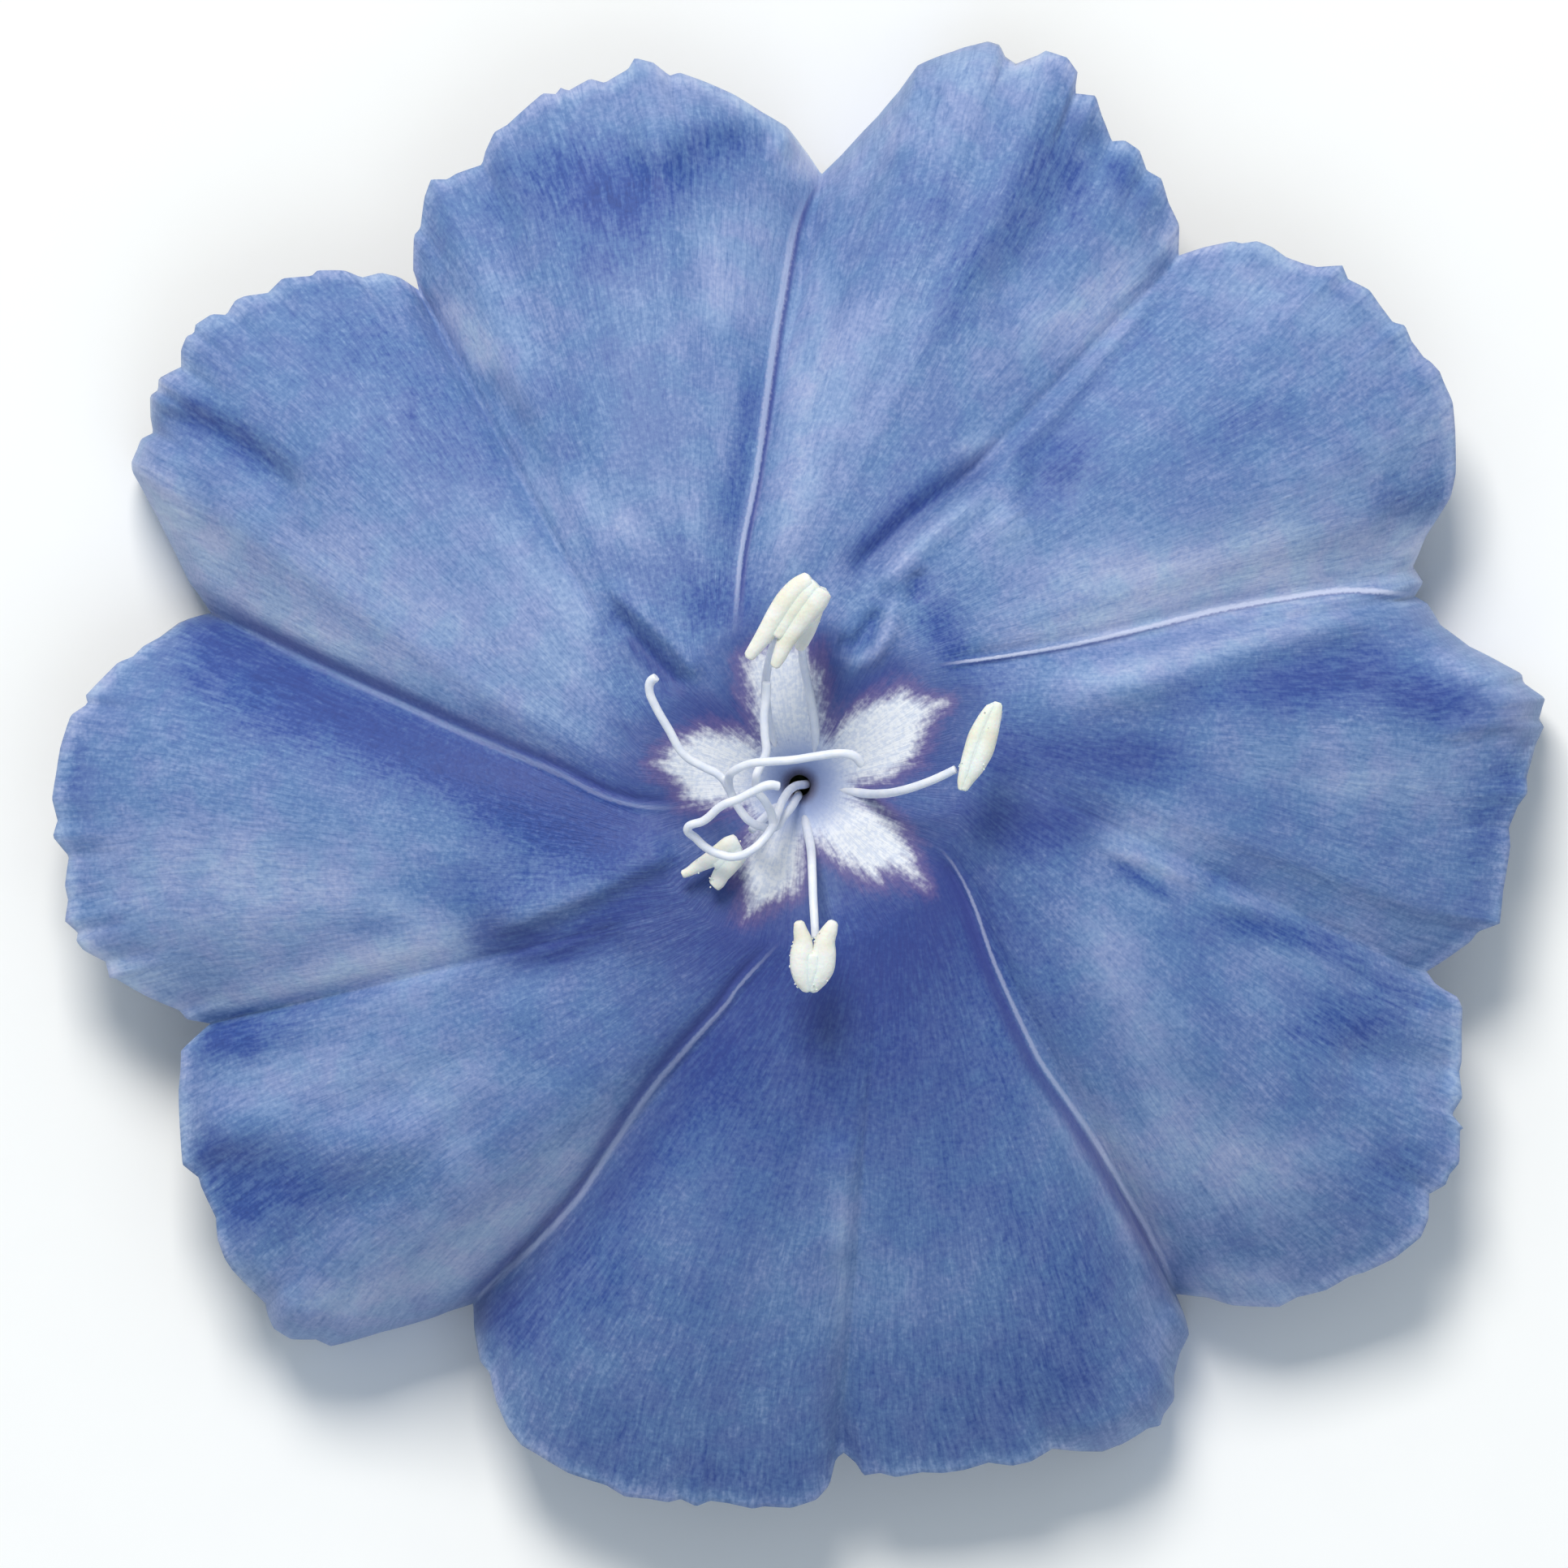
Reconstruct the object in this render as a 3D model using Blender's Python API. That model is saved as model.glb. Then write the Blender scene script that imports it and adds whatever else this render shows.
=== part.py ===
# Dwarf morning glory: one open bloom as picked, lying face up on the low points of its rim.
# The five petals are grown together into one funnel, so they are one solid. The sepals, the cut
# stalk, the five stamens and the pistil inside are solids of their own.
import math
import random

import bmesh
import bpy
from mathutils import Matrix, Vector

MM = 0.001

# Driving dimensions in millimetres. Every plan point is measured from the throat's axis, and
# every height from the surface that the bloom rests on. A share of the limb runs from 0 at the
# crest round the throat to 1 at the rim.
THROAT_FROM_MIDDLE = Vector((0.017, -0.146, 0.0))
PETAL_THICK = 0.66
CREST_RADIUS = 2.6
CREST_HEIGHT = 5.5
THREAD_RADIUS = 0.07
THECA_RADIUS = 0.19

# The rim, clockwise from the left notch. Each lobe runs from one notch to the next, as degrees
# and millimetres from the throat. Petals part at every other notch, where the creases end.
LOBES = (
    ((163.4, 9.85), (161.6, 10.31), (159.5, 10.7), (157.3, 11.2), (154.9, 11.82), (152.0, 11.95),
     (148.5, 12.1), (144.0, 12.13), (140.5, 11.95), (136.5, 11.6), (132.5, 11.15),
     (129.5, 10.65), (127.4, 9.95)),
    ((127.4, 9.95), (126.6, 10.35), (124.6, 10.78), (121.8, 11.3), (118.0, 11.2), (114.8, 11.55),
     (110.0, 11.8), (105.5, 11.72), (102.6, 11.92), (99.5, 11.58), (95.4, 11.13),
     (91.6, 10.6), (89.2, 10.17), (87.6, 9.8)),
    ((87.6, 9.8), (85.6, 10.29), (83.0, 10.9), (80.5, 11.76), (76.5, 12.26), (73.7, 12.08),
     (71.0, 12.4), (68.4, 12.05), (66.0, 11.82), (63.0, 11.58), (60.0, 11.33),
     (57.5, 11.05), (55.8, 10.85), (54.4, 10.4)),
    ((54.4, 10.4), (53.3, 10.75), (51.0, 11.2), (47.3, 11.52), (43.8, 12.0), (40.0, 12.08),
     (35.0, 12.15), (31.0, 12.17), (28.0, 11.92), (25.0, 11.6), (22.2, 10.9),
     (19.6, 10.44), (18.0, 10.5), (17.1, 10.32)),
    ((17.1, 10.32), (16.0, 10.5), (14.0, 10.62), (11.7, 10.98), (9.2, 11.62), (6.8, 12.02),
     (4.0, 11.93), (0.5, 11.66), (-3.0, 11.42), (-7.0, 11.42), (-11.0, 11.41),
     (-12.6, 11.08), (-15.0, 10.72), (-16.5, 10.45)),
    ((-16.5, 10.45), (-17.5, 10.85), (-18.6, 11.2), (-22.0, 11.47), (-25.5, 11.72), (-29.0, 12.03),
     (-32.5, 12.15), (-36.2, 12.26), (-41.0, 11.9), (-45.5, 11.45), (-49.5, 10.95),
     (-51.8, 10.42), (-53.5, 10.14)),
    ((-53.5, 10.14), (-54.2, 10.65), (-55.8, 10.95), (-57.7, 11.3), (-59.5, 11.65), (-63.0, 11.78),
     (-66.0, 11.68), (-69.5, 11.42), (-74.0, 11.3), (-79.0, 11.2), (-83.5, 11.1),
     (-85.2, 10.92), (-86.2, 10.7)),
    ((-86.2, 10.7), (-87.2, 11.1), (-88.6, 11.44), (-91.5, 11.58), (-96.0, 11.55), (-101.0, 11.66),
     (-105.0, 11.66), (-109.5, 11.6), (-113.5, 11.4), (-116.2, 11.0), (-118.4, 10.62),
     (-120.5, 10.24), (-122.5, 9.82)),
    ((-122.5, 9.82), (-124.5, 10.37), (-127.4, 11.05), (-130.0, 11.72), (-134.0, 12.1),
     (-137.0, 11.95), (-141.0, 11.88), (-145.0, 11.56), (-148.6, 11.55), (-153.0, 11.15),
     (-156.3, 10.82), (-158.0, 10.16)),
    ((-158.0, 10.16), (-159.4, 10.5), (-162.2, 11.01), (-164.8, 11.45), (-168.0, 11.82),
     (-172.0, 11.87), (-176.0, 11.94), (-181.0, 11.92), (-185.0, 11.75), (-189.0, 11.28),
     (-192.5, 10.65), (-194.8, 10.28), (-196.6, 9.85)),
)
# Small teeth stand out of the rim, except on the rolled margin clockwise of each crease. Places
# along a lobe count from its counterclockwise notch.
TOOTH_HEIGHT = 0.09
TOOTH_SPREAD = (0.6, 1.3)
TEETH_START_PAST_CREASE = (0.22, 0.4)
TEETH_START_PAST_NOTCH = (0.02, 0.12)
TEETH_END_BEFORE_NOTCH = 0.1

# In the bud the petals were rolled round each other, so creases and veins still sweep round.
TWIST_DEG_MM = 89.7
TWIST_ENDS_AT = 10.14

# The middle of the petal wall from the tube's foot up to the crest round the throat, as radius
# and height.
FUNNEL = ((0.95, 2.35), (0.97, 2.9), (0.8, 3.55), (0.74, 4.1), (0.9, 4.6), (1.3, 5.05),
          (1.9, 5.37), (CREST_RADIUS, CREST_HEIGHT))

# The rings of the limb, as the share of the way from crest to rim, with their points per lobe.
LIMB_RINGS = ((0.12, 8), (0.24, 8), (0.35, 16), (0.45, 16), (0.55, 16), (0.64, 16), (0.73, 16),
              (0.81, 16), (0.88, 16), (0.945, 16), (1.0, 32))
SLOPE_STEP = 0.02
FUNNEL_PER_LOBE = 4
CREST_PER_LOBE = 8

# The rim hangs below the crest, more so near the creases, and each lobe swells between its
# notches. Widths across the limb count lobes from the nearest crease.
RIM_DROOP = 3.35
CREASE_DROOP = 1.15
CREASE_DROOP_WIDTH = 0.4
DROOP_POWER = 2.2
EVEN_DROOP_SHARE = 0.25
LOBE_SWELL = 0.16
SWELL_SHARES = (0.15, 0.7)

# Clockwise of each crease the margin is rolled under, down to the surface, from one share of the
# way to the rim to another.
CURL_DEPTH = 1.5
CURL_PAST_CREASE = 0.14
CURL_WIDTH = 0.18
CURL_SHARES = (0.58, 1.06)

# Depth of the valley that each crease lies in, clockwise from the left one.
CREASE_DEPTHS = (0.42, 0.16, 0.34, 0.14, 0.3)
CREASE_WIDTH = 0.5
CREASE_SHARES = (0.0, 0.3)

# Folds of the limb: height, width, and the points that each runs through. They fade towards the
# crest and, over FOLD_END of their length, towards their own ends.
FOLD_SHARES = (0.0, 0.12)
FOLD_END = 0.15
FOLDS = (
    (0.28, 0.45, ((-9.43, -3.73), (-7.29, -3.15), (-5.01, -2.44), (-2.93, -1.78), (-2.02, -1.33))),
    (0.3, 0.5, ((5.4, 1.73), (7.35, 2.31), (9.01, 2.6), (10.18, 2.12), (11.34, 1.56))),
    (0.2, 0.45, ((9.95, -3.02), (8.14, -2.37), (5.54, -1.33), (3.19, -0.42))),
    (-0.26, 0.4, ((6.06, 8.29), (4.08, 5.68), (2.15, 4.72), (0.79, 3.45))),
    (-0.24, 0.4, ((-6.07, 7.77), (-5.53, 6.6), (-4.75, 5.3), (-2.51, 2.52))),
    (0.26, 0.45, ((-3.19, 9.79), (-1.76, 10.57), (-0.95, 10.79), (-0.32, 10.53), (0.07, 10.05))),
    (0.12, 0.6, ((0.69, -10.56), (0.62, -7.44), (0.52, -4.32))),
)

# The stalk and the receptacle on its top, as height and radius.
STALK = ((0.35, 0.3), (0.45, 0.34), (0.9, 0.33), (1.25, 0.4), (1.5, 0.62), (1.75, 0.88),
         (2.05, 0.98), (2.2, 0.96), (2.27, 0.85))
STALK_LEAN = 0.12
OVARY_HEIGHT = 2.8
OVARY_SIZE = (0.38, 0.38, 0.42)

# A sepal's rib, as radius, height and half width, from its foot out to its tip.
SEPAL = ((1.3, 1.7, 0.42), (1.62, 2.1, 0.66), (1.72, 2.8, 0.78), (1.7, 3.5, 0.7),
         (1.88, 4.0, 0.52), (2.3, 4.33, 0.3), (2.85, 4.48, 0.07))
SEPAL_THICK = 0.6
SEPAL_ACROSS = 4
FIRST_SEPAL_DEG = 54.0
SEPALS = 5

# Each stamen's filament, from its root in the throat.
FILAMENTS = (
    ((0.44, -0.04, 4.75), (0.71, -0.07, 5.35), (0.92, -0.12, 5.75), (1.22, -0.13, 6.15),
     (1.61, -0.08, 6.5), (1.99, 0.04, 6.8), (2.29, 0.17, 6.97), (2.47, 0.26, 7.05)),
    ((0.07, -0.44, 4.75), (0.12, -0.66, 5.3), (0.18, -0.96, 5.85), (0.2, -1.35, 6.3),
     (0.22, -1.87, 6.65), (0.24, -2.2, 6.78), (0.25, -2.42, 6.8)),
    ((-0.33, -0.29, 4.75), (-0.47, -0.43, 5.25), (-0.6, -0.55, 5.65), (-0.76, -0.7, 5.95)),
    ((-0.13, 0.43, 4.75), (-0.2, 0.66, 5.4), (-0.27, 1.0, 6.0), (-0.34, 1.38, 6.45),
     (-0.43, 1.68, 6.72), (-0.5, 1.9, 6.95), (-0.46, 2.15, 7.2), (-0.38, 2.36, 7.42)),
    ((0.19, 0.39, 4.75), (0.27, 0.66, 5.4), (0.24, 1.0, 5.85), (0.15, 1.33, 6.2),
     (0.08, 1.62, 6.42), (0.03, 1.95, 6.55)),
)
# Each anther's tip and the ends of its two lobes.
ANTHERS = (
    ((3.14, 1.32, 7.2), (2.58, -0.12, 7.38), (2.54, -0.1, 7.0)),
    ((0.14, -3.26, 6.9), (-0.03, -2.14, 7.05), (0.57, -2.14, 7.05)),
    ((-0.95, -0.94, 6.12), (-1.89, -1.38, 6.12), (-1.38, -1.65, 6.12)),
    ((0.17, 3.37, 7.9), (-0.88, 1.96, 7.75), (-0.43, 1.83, 7.75)),
    ((0.42, 3.27, 7.0), (0.08, 2.16, 7.0), (-0.08, 2.24, 6.74)),
)
THECA_TAPER = (0.3, 0.78, 0.98, 1.0, 0.92, 0.72, 0.35)
THECA_SPREAD = 0.06

# The pistil: each style runs on into one stigma thread, and the other thread forks off it.
STYLES = (
    (
        ((-0.06, -0.11, 3.32), (-0.02, -0.16, 4.3), (-0.06, -0.22, 5.0), (-0.13, -0.34, 5.55),
         (-0.26, -0.5, 5.95), (-0.39, -0.66, 6.2), (-0.58, -0.66, 6.35), (-0.78, -0.57, 6.42),
         (-0.92, -0.42, 6.5), (-1.04, -0.22, 6.6), (-1.12, -0.05, 6.7), (-1.27, 0.16, 6.8),
         (-1.53, 0.3, 6.85), (-1.82, 0.48, 6.9), (-2.08, 0.9, 7.0), (-2.3, 1.29, 7.1),
         (-2.38, 1.5, 7.15), (-2.36, 1.65, 7.2), (-2.27, 1.72, 7.25)),
        ((-1.11, -0.08, 6.69), (-1.12, 0.13, 6.9), (-1.03, 0.24, 7.15), (-0.77, 0.35, 7.35),
         (-0.48, 0.38, 7.45), (-0.09, 0.41, 7.5), (0.29, 0.47, 7.5), (0.65, 0.51, 7.45),
         (0.86, 0.47, 7.4), (0.99, 0.33, 7.3)),
    ),
    (
        ((0.1, 0.03, 3.32), (0.1, 0.02, 4.3), (-0.09, -0.02, 5.0), (-0.25, -0.2, 5.75),
         (-0.35, -0.44, 6.3), (-0.43, -0.65, 6.6), (-0.56, -0.84, 6.7), (-0.77, -1.03, 6.75),
         (-1.03, -1.13, 6.72), (-1.23, -1.1, 6.68), (-1.46, -1.0, 6.68), (-1.64, -0.84, 6.75),
         (-1.78, -0.68, 6.9), (-1.51, -0.55, 7.05), (-1.22, -0.31, 7.2), (-0.96, -0.21, 7.25),
         (-0.71, -0.08, 7.3), (-0.48, 0.01, 7.3), (-0.32, -0.01, 7.25)),
        ((-0.42, -0.62, 6.57), (-0.45, -0.44, 6.66), (-0.56, -0.23, 6.76), (-0.66, -0.1, 6.85),
         (-0.69, 0.13, 6.9), (-0.61, 0.33, 6.9), (-0.53, 0.53, 6.92), (-0.55, 0.79, 6.95),
         (-0.56, 1.16, 7.0), (-0.53, 1.43, 7.05), (-0.52, 1.64, 7.12)),
    ),
)

PETAL_BLUE = (0.14, 0.22, 0.52)
GREEN = (0.19, 0.32, 0.1)
PALE_GREEN = (0.42, 0.5, 0.2)
THREAD_WHITE = (0.72, 0.76, 0.88)
CREAM = (0.8, 0.79, 0.66)


def clear_scene():
    for obj in list(bpy.data.objects):
        bpy.data.objects.remove(obj)


def paint(obj, name, colour, roughness):
    """Gives the object a Principled material, made once for each name."""
    material = bpy.data.materials.get(name)
    if material is None:
        material = bpy.data.materials.new(name)
        material.use_nodes = True
        shader = material.node_tree.nodes["Principled BSDF"]
        shader.inputs["Base Color"].default_value = (*colour, 1.0)
        shader.inputs["Roughness"].default_value = roughness
        shader.inputs["Metallic"].default_value = 0.0
    obj.data.materials.clear()
    obj.data.materials.append(material)


def settle(obj):
    """Moves a piece made round the throat's axis in millimetres to its place in metres."""
    obj.data.transform(Matrix.Scale(MM, 4) @ Matrix.Translation(THROAT_FROM_MIDDLE))
    obj.data.shade_smooth()
    obj.data.update()


def object_of(mesh, name):
    """Turns a closed bmesh into an object whose faces point outwards."""
    bmesh.ops.recalc_face_normals(mesh, faces=mesh.faces)
    data = bpy.data.meshes.new(name)
    mesh.to_mesh(data)
    mesh.free()
    obj = bpy.data.objects.new(name, data)
    bpy.context.scene.collection.objects.link(obj)
    return obj


def through(points, at):
    """The height at one place of the smooth curve through (place, height) points in order."""
    count = len(points)
    slopes = []
    for i in range(count):
        before, after = points[max(i - 1, 0)], points[min(i + 1, count - 1)]
        slopes.append((after[1] - before[1]) / (after[0] - before[0]))
    for i in range(count - 1):
        (x0, y0), (x1, y1) = points[i], points[i + 1]
        s = (at - x0) / (x1 - x0)
        if s <= 1.0 or i == count - 2:
            run = x1 - x0
            return (y0 * (2 * s**3 - 3 * s**2 + 1) + y1 * (3 * s**2 - 2 * s**3)
                    + run * slopes[i] * (s**3 - 2 * s**2 + s) + run * slopes[i + 1] * (s**3 - s**2))


def ease(low, high, value):
    """0 below low, 1 above high, and a smooth step between."""
    s = min(max((value - low) / (high - low), 0.0), 1.0)
    return s * s * (3 - 2 * s)


def bell(distance, width):
    return math.exp(-((distance / width) ** 2))


def rim_at(u):
    """Degrees and radius of the rim at u, which counts lobes clockwise from the left notch."""
    points = LOBES[int(u) % len(LOBES)]
    degrees = points[0][0] + (points[-1][0] - points[0][0]) * (u % 1.0)
    return degrees, through(points, degrees)


def past_crease(u):
    """Lobes from the nearest crease, above 0 clockwise of it."""
    return (u + 1.0) % 2.0 - 1.0


def tooth_share(u):
    """How far the rim is toothed at u: not at all on the margin clockwise of a crease."""
    from_notch = u % 1.0
    start = TEETH_START_PAST_CREASE if int(u) % 2 == 0 else TEETH_START_PAST_NOTCH
    return ease(*start, from_notch) * ease(0.0, TEETH_END_BEFORE_NOTCH, 1.0 - from_notch)


def twist_at(radius):
    return TWIST_DEG_MM * max(1.0 / radius - 1.0 / TWIST_ENDS_AT, 0.0)


def fold_height(x, y):
    """The sum of the folds' heights at a point of the limb."""
    total = 0.0
    for height, width, points in FOLDS:
        spans = list(zip(points, points[1:]))
        nearest, along = 1e9, 0.0
        for i, ((x0, y0), (x1, y1)) in enumerate(spans):
            length = (x1 - x0) ** 2 + (y1 - y0) ** 2
            s = min(max(((x - x0) * (x1 - x0) + (y - y0) * (y1 - y0)) / length, 0.0), 1.0)
            distance = math.hypot(x - x0 - s * (x1 - x0), y - y0 - s * (y1 - y0))
            if distance < nearest:
                nearest, along = distance, (i + s) / len(spans)
        total += height * bell(nearest, width) * ease(0.0, FOLD_END, min(along, 1.0 - along))
    return total


def limb_point(u, share):
    """Point of the wall's middle at u, at a share of the way from the crest to the rim."""
    degrees, rim = rim_at(u)
    radius = CREST_RADIUS + (rim - CREST_RADIUS) * share
    angle = math.radians(degrees + twist_at(radius))
    x, y = radius * math.cos(angle), radius * math.sin(angle)
    aside = past_crease(u)
    droop = RIM_DROOP + CREASE_DROOP * bell(aside, CREASE_DROOP_WIDTH)
    z = CREST_HEIGHT - droop * (EVEN_DROOP_SHARE * share + (1 - EVEN_DROOP_SHARE) * share**DROOP_POWER)
    z -= CURL_DEPTH * bell(aside - CURL_PAST_CREASE, CURL_WIDTH) * ease(*CURL_SHARES, share)
    z += LOBE_SWELL * math.sin(math.pi * (u % 1.0)) ** 2 * ease(*SWELL_SHARES, share)
    depth = CREASE_DEPTHS[int((u + 1.0) % len(LOBES)) // 2]
    from_crease = 2 * math.pi / len(LOBES) * aside * radius
    z -= depth * bell(from_crease, CREASE_WIDTH) * ease(*CREASE_SHARES, share)
    return Vector((x, y, z + fold_height(x, y) * ease(*FOLD_SHARES, share)))


def limb_half_wall(u, share):
    """Half the upright thickness that keeps the wall PETAL_THICK thick across its slope."""
    share = min(share, 1.0 - SLOPE_STEP)
    near, far = limb_point(u, share - SLOPE_STEP), limb_point(u, share + SLOPE_STEP)
    run = math.hypot(far.x - near.x, far.y - near.y)
    return 0.5 * PETAL_THICK * math.hypot(run, far.z - near.z) / run


def funnel_pair(i, u):
    """The inner and the outer point of the funnel's wall at profile point i."""
    radius, height = FUNNEL[i]
    before, after = FUNNEL[max(i - 1, 0)], FUNNEL[min(i + 1, len(FUNNEL) - 1)]
    along = Vector((after[0] - before[0], after[1] - before[1])).normalized()
    if i in (0, len(FUNNEL) - 1):
        along = Vector((0.0, 1.0)) if i == 0 else Vector((1.0, 0.0))
    angle = math.radians(rim_at(u)[0] + twist_at(CREST_RADIUS))
    pair = []
    for side in (0.5, -0.5):
        r = radius - side * PETAL_THICK * along.y
        z = height + side * PETAL_THICK * along.x
        pair.append(Vector((r * math.cos(angle), r * math.sin(angle), z)))
    return pair


def limb_pair(u, share, toothed, dice):
    """The upper and the lower point of the limb's wall, the lower one never under the surface."""
    middle = limb_point(u, share)
    if toothed:
        outward = Vector((middle.x, middle.y, 0.0)).normalized()
        middle += outward * toothed * TOOTH_HEIGHT * tooth_share(u) * dice.uniform(*TOOTH_SPREAD)
    half = limb_half_wall(u, share)
    lift = max(half - middle.z, 0.0)
    return middle + Vector((0.0, 0.0, half + lift)), middle + Vector((0.0, 0.0, lift - half))


def band_triangles(inner, outer):
    """Triangles between two closed rings, the outer with as many points or twice as many."""
    count = len(inner)
    found = []
    for j in range(count):
        a, b = inner[j], inner[(j + 1) % count]
        if len(outer) == count:
            c, d = outer[j], outer[(j + 1) % count]
            found += [(a, c, d), (a, d, b)]
        else:
            c, d, e = (outer[(2 * j + k) % len(outer)] for k in range(3))
            found += [(a, c, d), (a, d, b), (b, d, e)]
    return found


def make_corolla():
    """Both faces of the wall from the same rings, joined at the tube's foot and at the rim."""
    dice = random.Random(7)
    mesh = bmesh.new()
    upper, lower = [], []

    def add_ring(pairs):
        upper.append([mesh.verts.new(pair[0]) for pair in pairs])
        lower.append([mesh.verts.new(pair[1]) for pair in pairs])

    for i in range(len(FUNNEL)):
        per_lobe = CREST_PER_LOBE if i == len(FUNNEL) - 1 else FUNNEL_PER_LOBE
        count = len(LOBES) * per_lobe
        add_ring([funnel_pair(i, k / per_lobe) for k in range(count)])
    for share, per_lobe in LIMB_RINGS:
        at_rim = share == 1.0
        pairs = []
        for k in range(len(LOBES) * per_lobe):
            toothed = (1.0 if k % 2 else -1.0) if at_rim else 0.0
            pairs.append(limb_pair(k / per_lobe, share, toothed, dice))
        add_ring(pairs)

    for rings in (upper, lower):
        for inner, outer in zip(rings, rings[1:]):
            for triangle in band_triangles(inner, outer):
                mesh.faces.new(triangle)
    for triangle in band_triangles(upper[0], lower[0]) + band_triangles(upper[-1], lower[-1]):
        mesh.faces.new(triangle)
    corolla = object_of(mesh, "corolla")
    settle(corolla)
    paint(corolla, "petal blue", PETAL_BLUE, 0.6)


def make_thread(name, points, radii, resolution=3, sides=1):
    """A round thread through the points, as a closed mesh still in millimetres."""
    curve = bpy.data.curves.new(name, "CURVE")
    curve.dimensions = "3D"
    curve.bevel_depth = 1.0
    curve.bevel_resolution = sides
    curve.resolution_u = resolution
    curve.use_fill_caps = True
    spline = curve.splines.new("BEZIER")
    spline.bezier_points.add(len(points) - 1)
    for knot, place, radius in zip(spline.bezier_points, points, radii):
        knot.co = place
        knot.radius = radius
        knot.handle_left_type = "AUTO"
        knot.handle_right_type = "AUTO"
    guide = bpy.data.objects.new(name + "_guide", curve)
    bpy.context.scene.collection.objects.link(guide)
    bpy.context.view_layer.update()
    graph = bpy.context.evaluated_depsgraph_get()
    data = bpy.data.meshes.new_from_object(guide.evaluated_get(graph))
    bpy.data.objects.remove(guide)
    mesh = bmesh.new()
    mesh.from_mesh(data)
    bpy.data.meshes.remove(data)
    bmesh.ops.remove_doubles(mesh, verts=mesh.verts, dist=1e-4)
    return object_of(mesh, name)


def unite(base, other):
    """Joins two overlapping closed pieces into one."""
    modifier = base.modifiers.new("unite", "BOOLEAN")
    modifier.operation = "UNION"
    modifier.solver = "EXACT"
    modifier.object = other
    bpy.context.view_layer.update()
    graph = bpy.context.evaluated_depsgraph_get()
    joined = bpy.data.meshes.new_from_object(base.evaluated_get(graph))
    base.modifiers.clear()
    base.data = joined
    bpy.data.objects.remove(other)


def make_filaments():
    for i, points in enumerate(FILAMENTS, 1):
        radii = [THREAD_RADIUS] * len(points)
        filament = make_thread(f"filament_{i}", points, radii, resolution=2)
        settle(filament)
        paint(filament, "thread white", THREAD_WHITE, 0.45)


def theca_points(tip, end, other_end):
    """The middle line of one pollen sac, from beside the tip to its own free end."""
    tip, end, other_end = Vector(tip), Vector(end), Vector(other_end)
    apart = (end - other_end).normalized()
    points = []
    for k in range(len(THECA_TAPER)):
        s = k / (len(THECA_TAPER) - 1)
        points.append(tip.lerp(end, s) + apart * THECA_SPREAD * math.sin(math.pi * (0.1 + 0.9 * s)))
    return points


def make_anthers():
    for i, (tip, left, right) in enumerate(ANTHERS, 1):
        radii = [THECA_RADIUS * taper for taper in THECA_TAPER]
        anther = make_thread(f"anther_{i}", theca_points(tip, left, right), radii, 1, 2)
        other = make_thread("other sac", theca_points(tip, right, left), radii, 1, 2)
        unite(anther, other)
        settle(anther)
        paint(anther, "pollen cream", CREAM, 0.7)


def make_pistil():
    for i, (trunk, branch) in enumerate(STYLES, 1):
        radii = [THREAD_RADIUS] * (len(trunk) - 1) + [THREAD_RADIUS * 1.1]
        style = make_thread(f"style_{i}", trunk, radii, 2)
        radii = [THREAD_RADIUS * 0.9] + [THREAD_RADIUS] * (len(branch) - 1)
        unite(style, make_thread("branch", branch, radii, 2))
        settle(style)
        paint(style, "thread white", THREAD_WHITE, 0.45)
    mesh = bmesh.new()
    bmesh.ops.create_uvsphere(mesh, u_segments=16, v_segments=10, radius=1.0)
    bmesh.ops.scale(mesh, vec=OVARY_SIZE, verts=mesh.verts)
    bmesh.ops.translate(mesh, vec=(0.0, 0.0, OVARY_HEIGHT), verts=mesh.verts)
    ovary = object_of(mesh, "ovary")
    settle(ovary)
    paint(ovary, "pale green", PALE_GREEN, 0.5)


def make_stalk():
    top = STALK[-1][0]
    points = [(STALK_LEAN * (top - height) ** 2, 0.0, height) for height, _ in STALK]
    stalk = make_thread("stalk", points, [radius for _, radius in STALK], 1, 6)
    settle(stalk)
    paint(stalk, "green", GREEN, 0.6)


def sepal_pair(row, side, turn):
    """The inner and the outer point of a sepal at one row, side running from -1 to 1."""
    radius, height, half_width = SEPAL[row]
    before, after = SEPAL[max(row - 1, 0)], SEPAL[min(row + 1, len(SEPAL) - 1)]
    along = Vector((after[0] - before[0], after[1] - before[1])).normalized()
    angle = turn + side * half_width / radius
    pair = []
    for face in (0.5, -0.5):
        r = radius - face * SEPAL_THICK * along.y
        z = height + face * SEPAL_THICK * along.x
        pair.append(Vector((r * math.cos(angle), r * math.sin(angle), z)))
    return pair


def make_sepal(number):
    """One blade of the calyx: two grids split alike, and the edge that joins them."""
    turn = math.radians(FIRST_SEPAL_DEG) + 2 * math.pi * number / SEPALS
    mesh = bmesh.new()
    inner, outer = [], []
    for row in range(len(SEPAL)):
        pairs = [sepal_pair(row, 2.0 * k / SEPAL_ACROSS - 1.0, turn) for k in range(SEPAL_ACROSS + 1)]
        inner.append([mesh.verts.new(pair[0]) for pair in pairs])
        outer.append([mesh.verts.new(pair[1]) for pair in pairs])
    for grid in (inner, outer):
        for low, high in zip(grid, grid[1:]):
            for k in range(SEPAL_ACROSS):
                mesh.faces.new((low[k], low[k + 1], high[k + 1]))
                mesh.faces.new((low[k], high[k + 1], high[k]))
    edges = []
    for grid in (inner, outer):
        left, right = [row[0] for row in grid], [row[-1] for row in grid]
        edges.append(grid[0][:-1] + right[:-1] + grid[-1][:0:-1] + left[:0:-1])
    for triangle in band_triangles(edges[0], edges[1]):
        mesh.faces.new(triangle)
    sepal = object_of(mesh, f"sepal_{number + 1}")
    settle(sepal)
    paint(sepal, "green", GREEN, 0.6)


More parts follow.
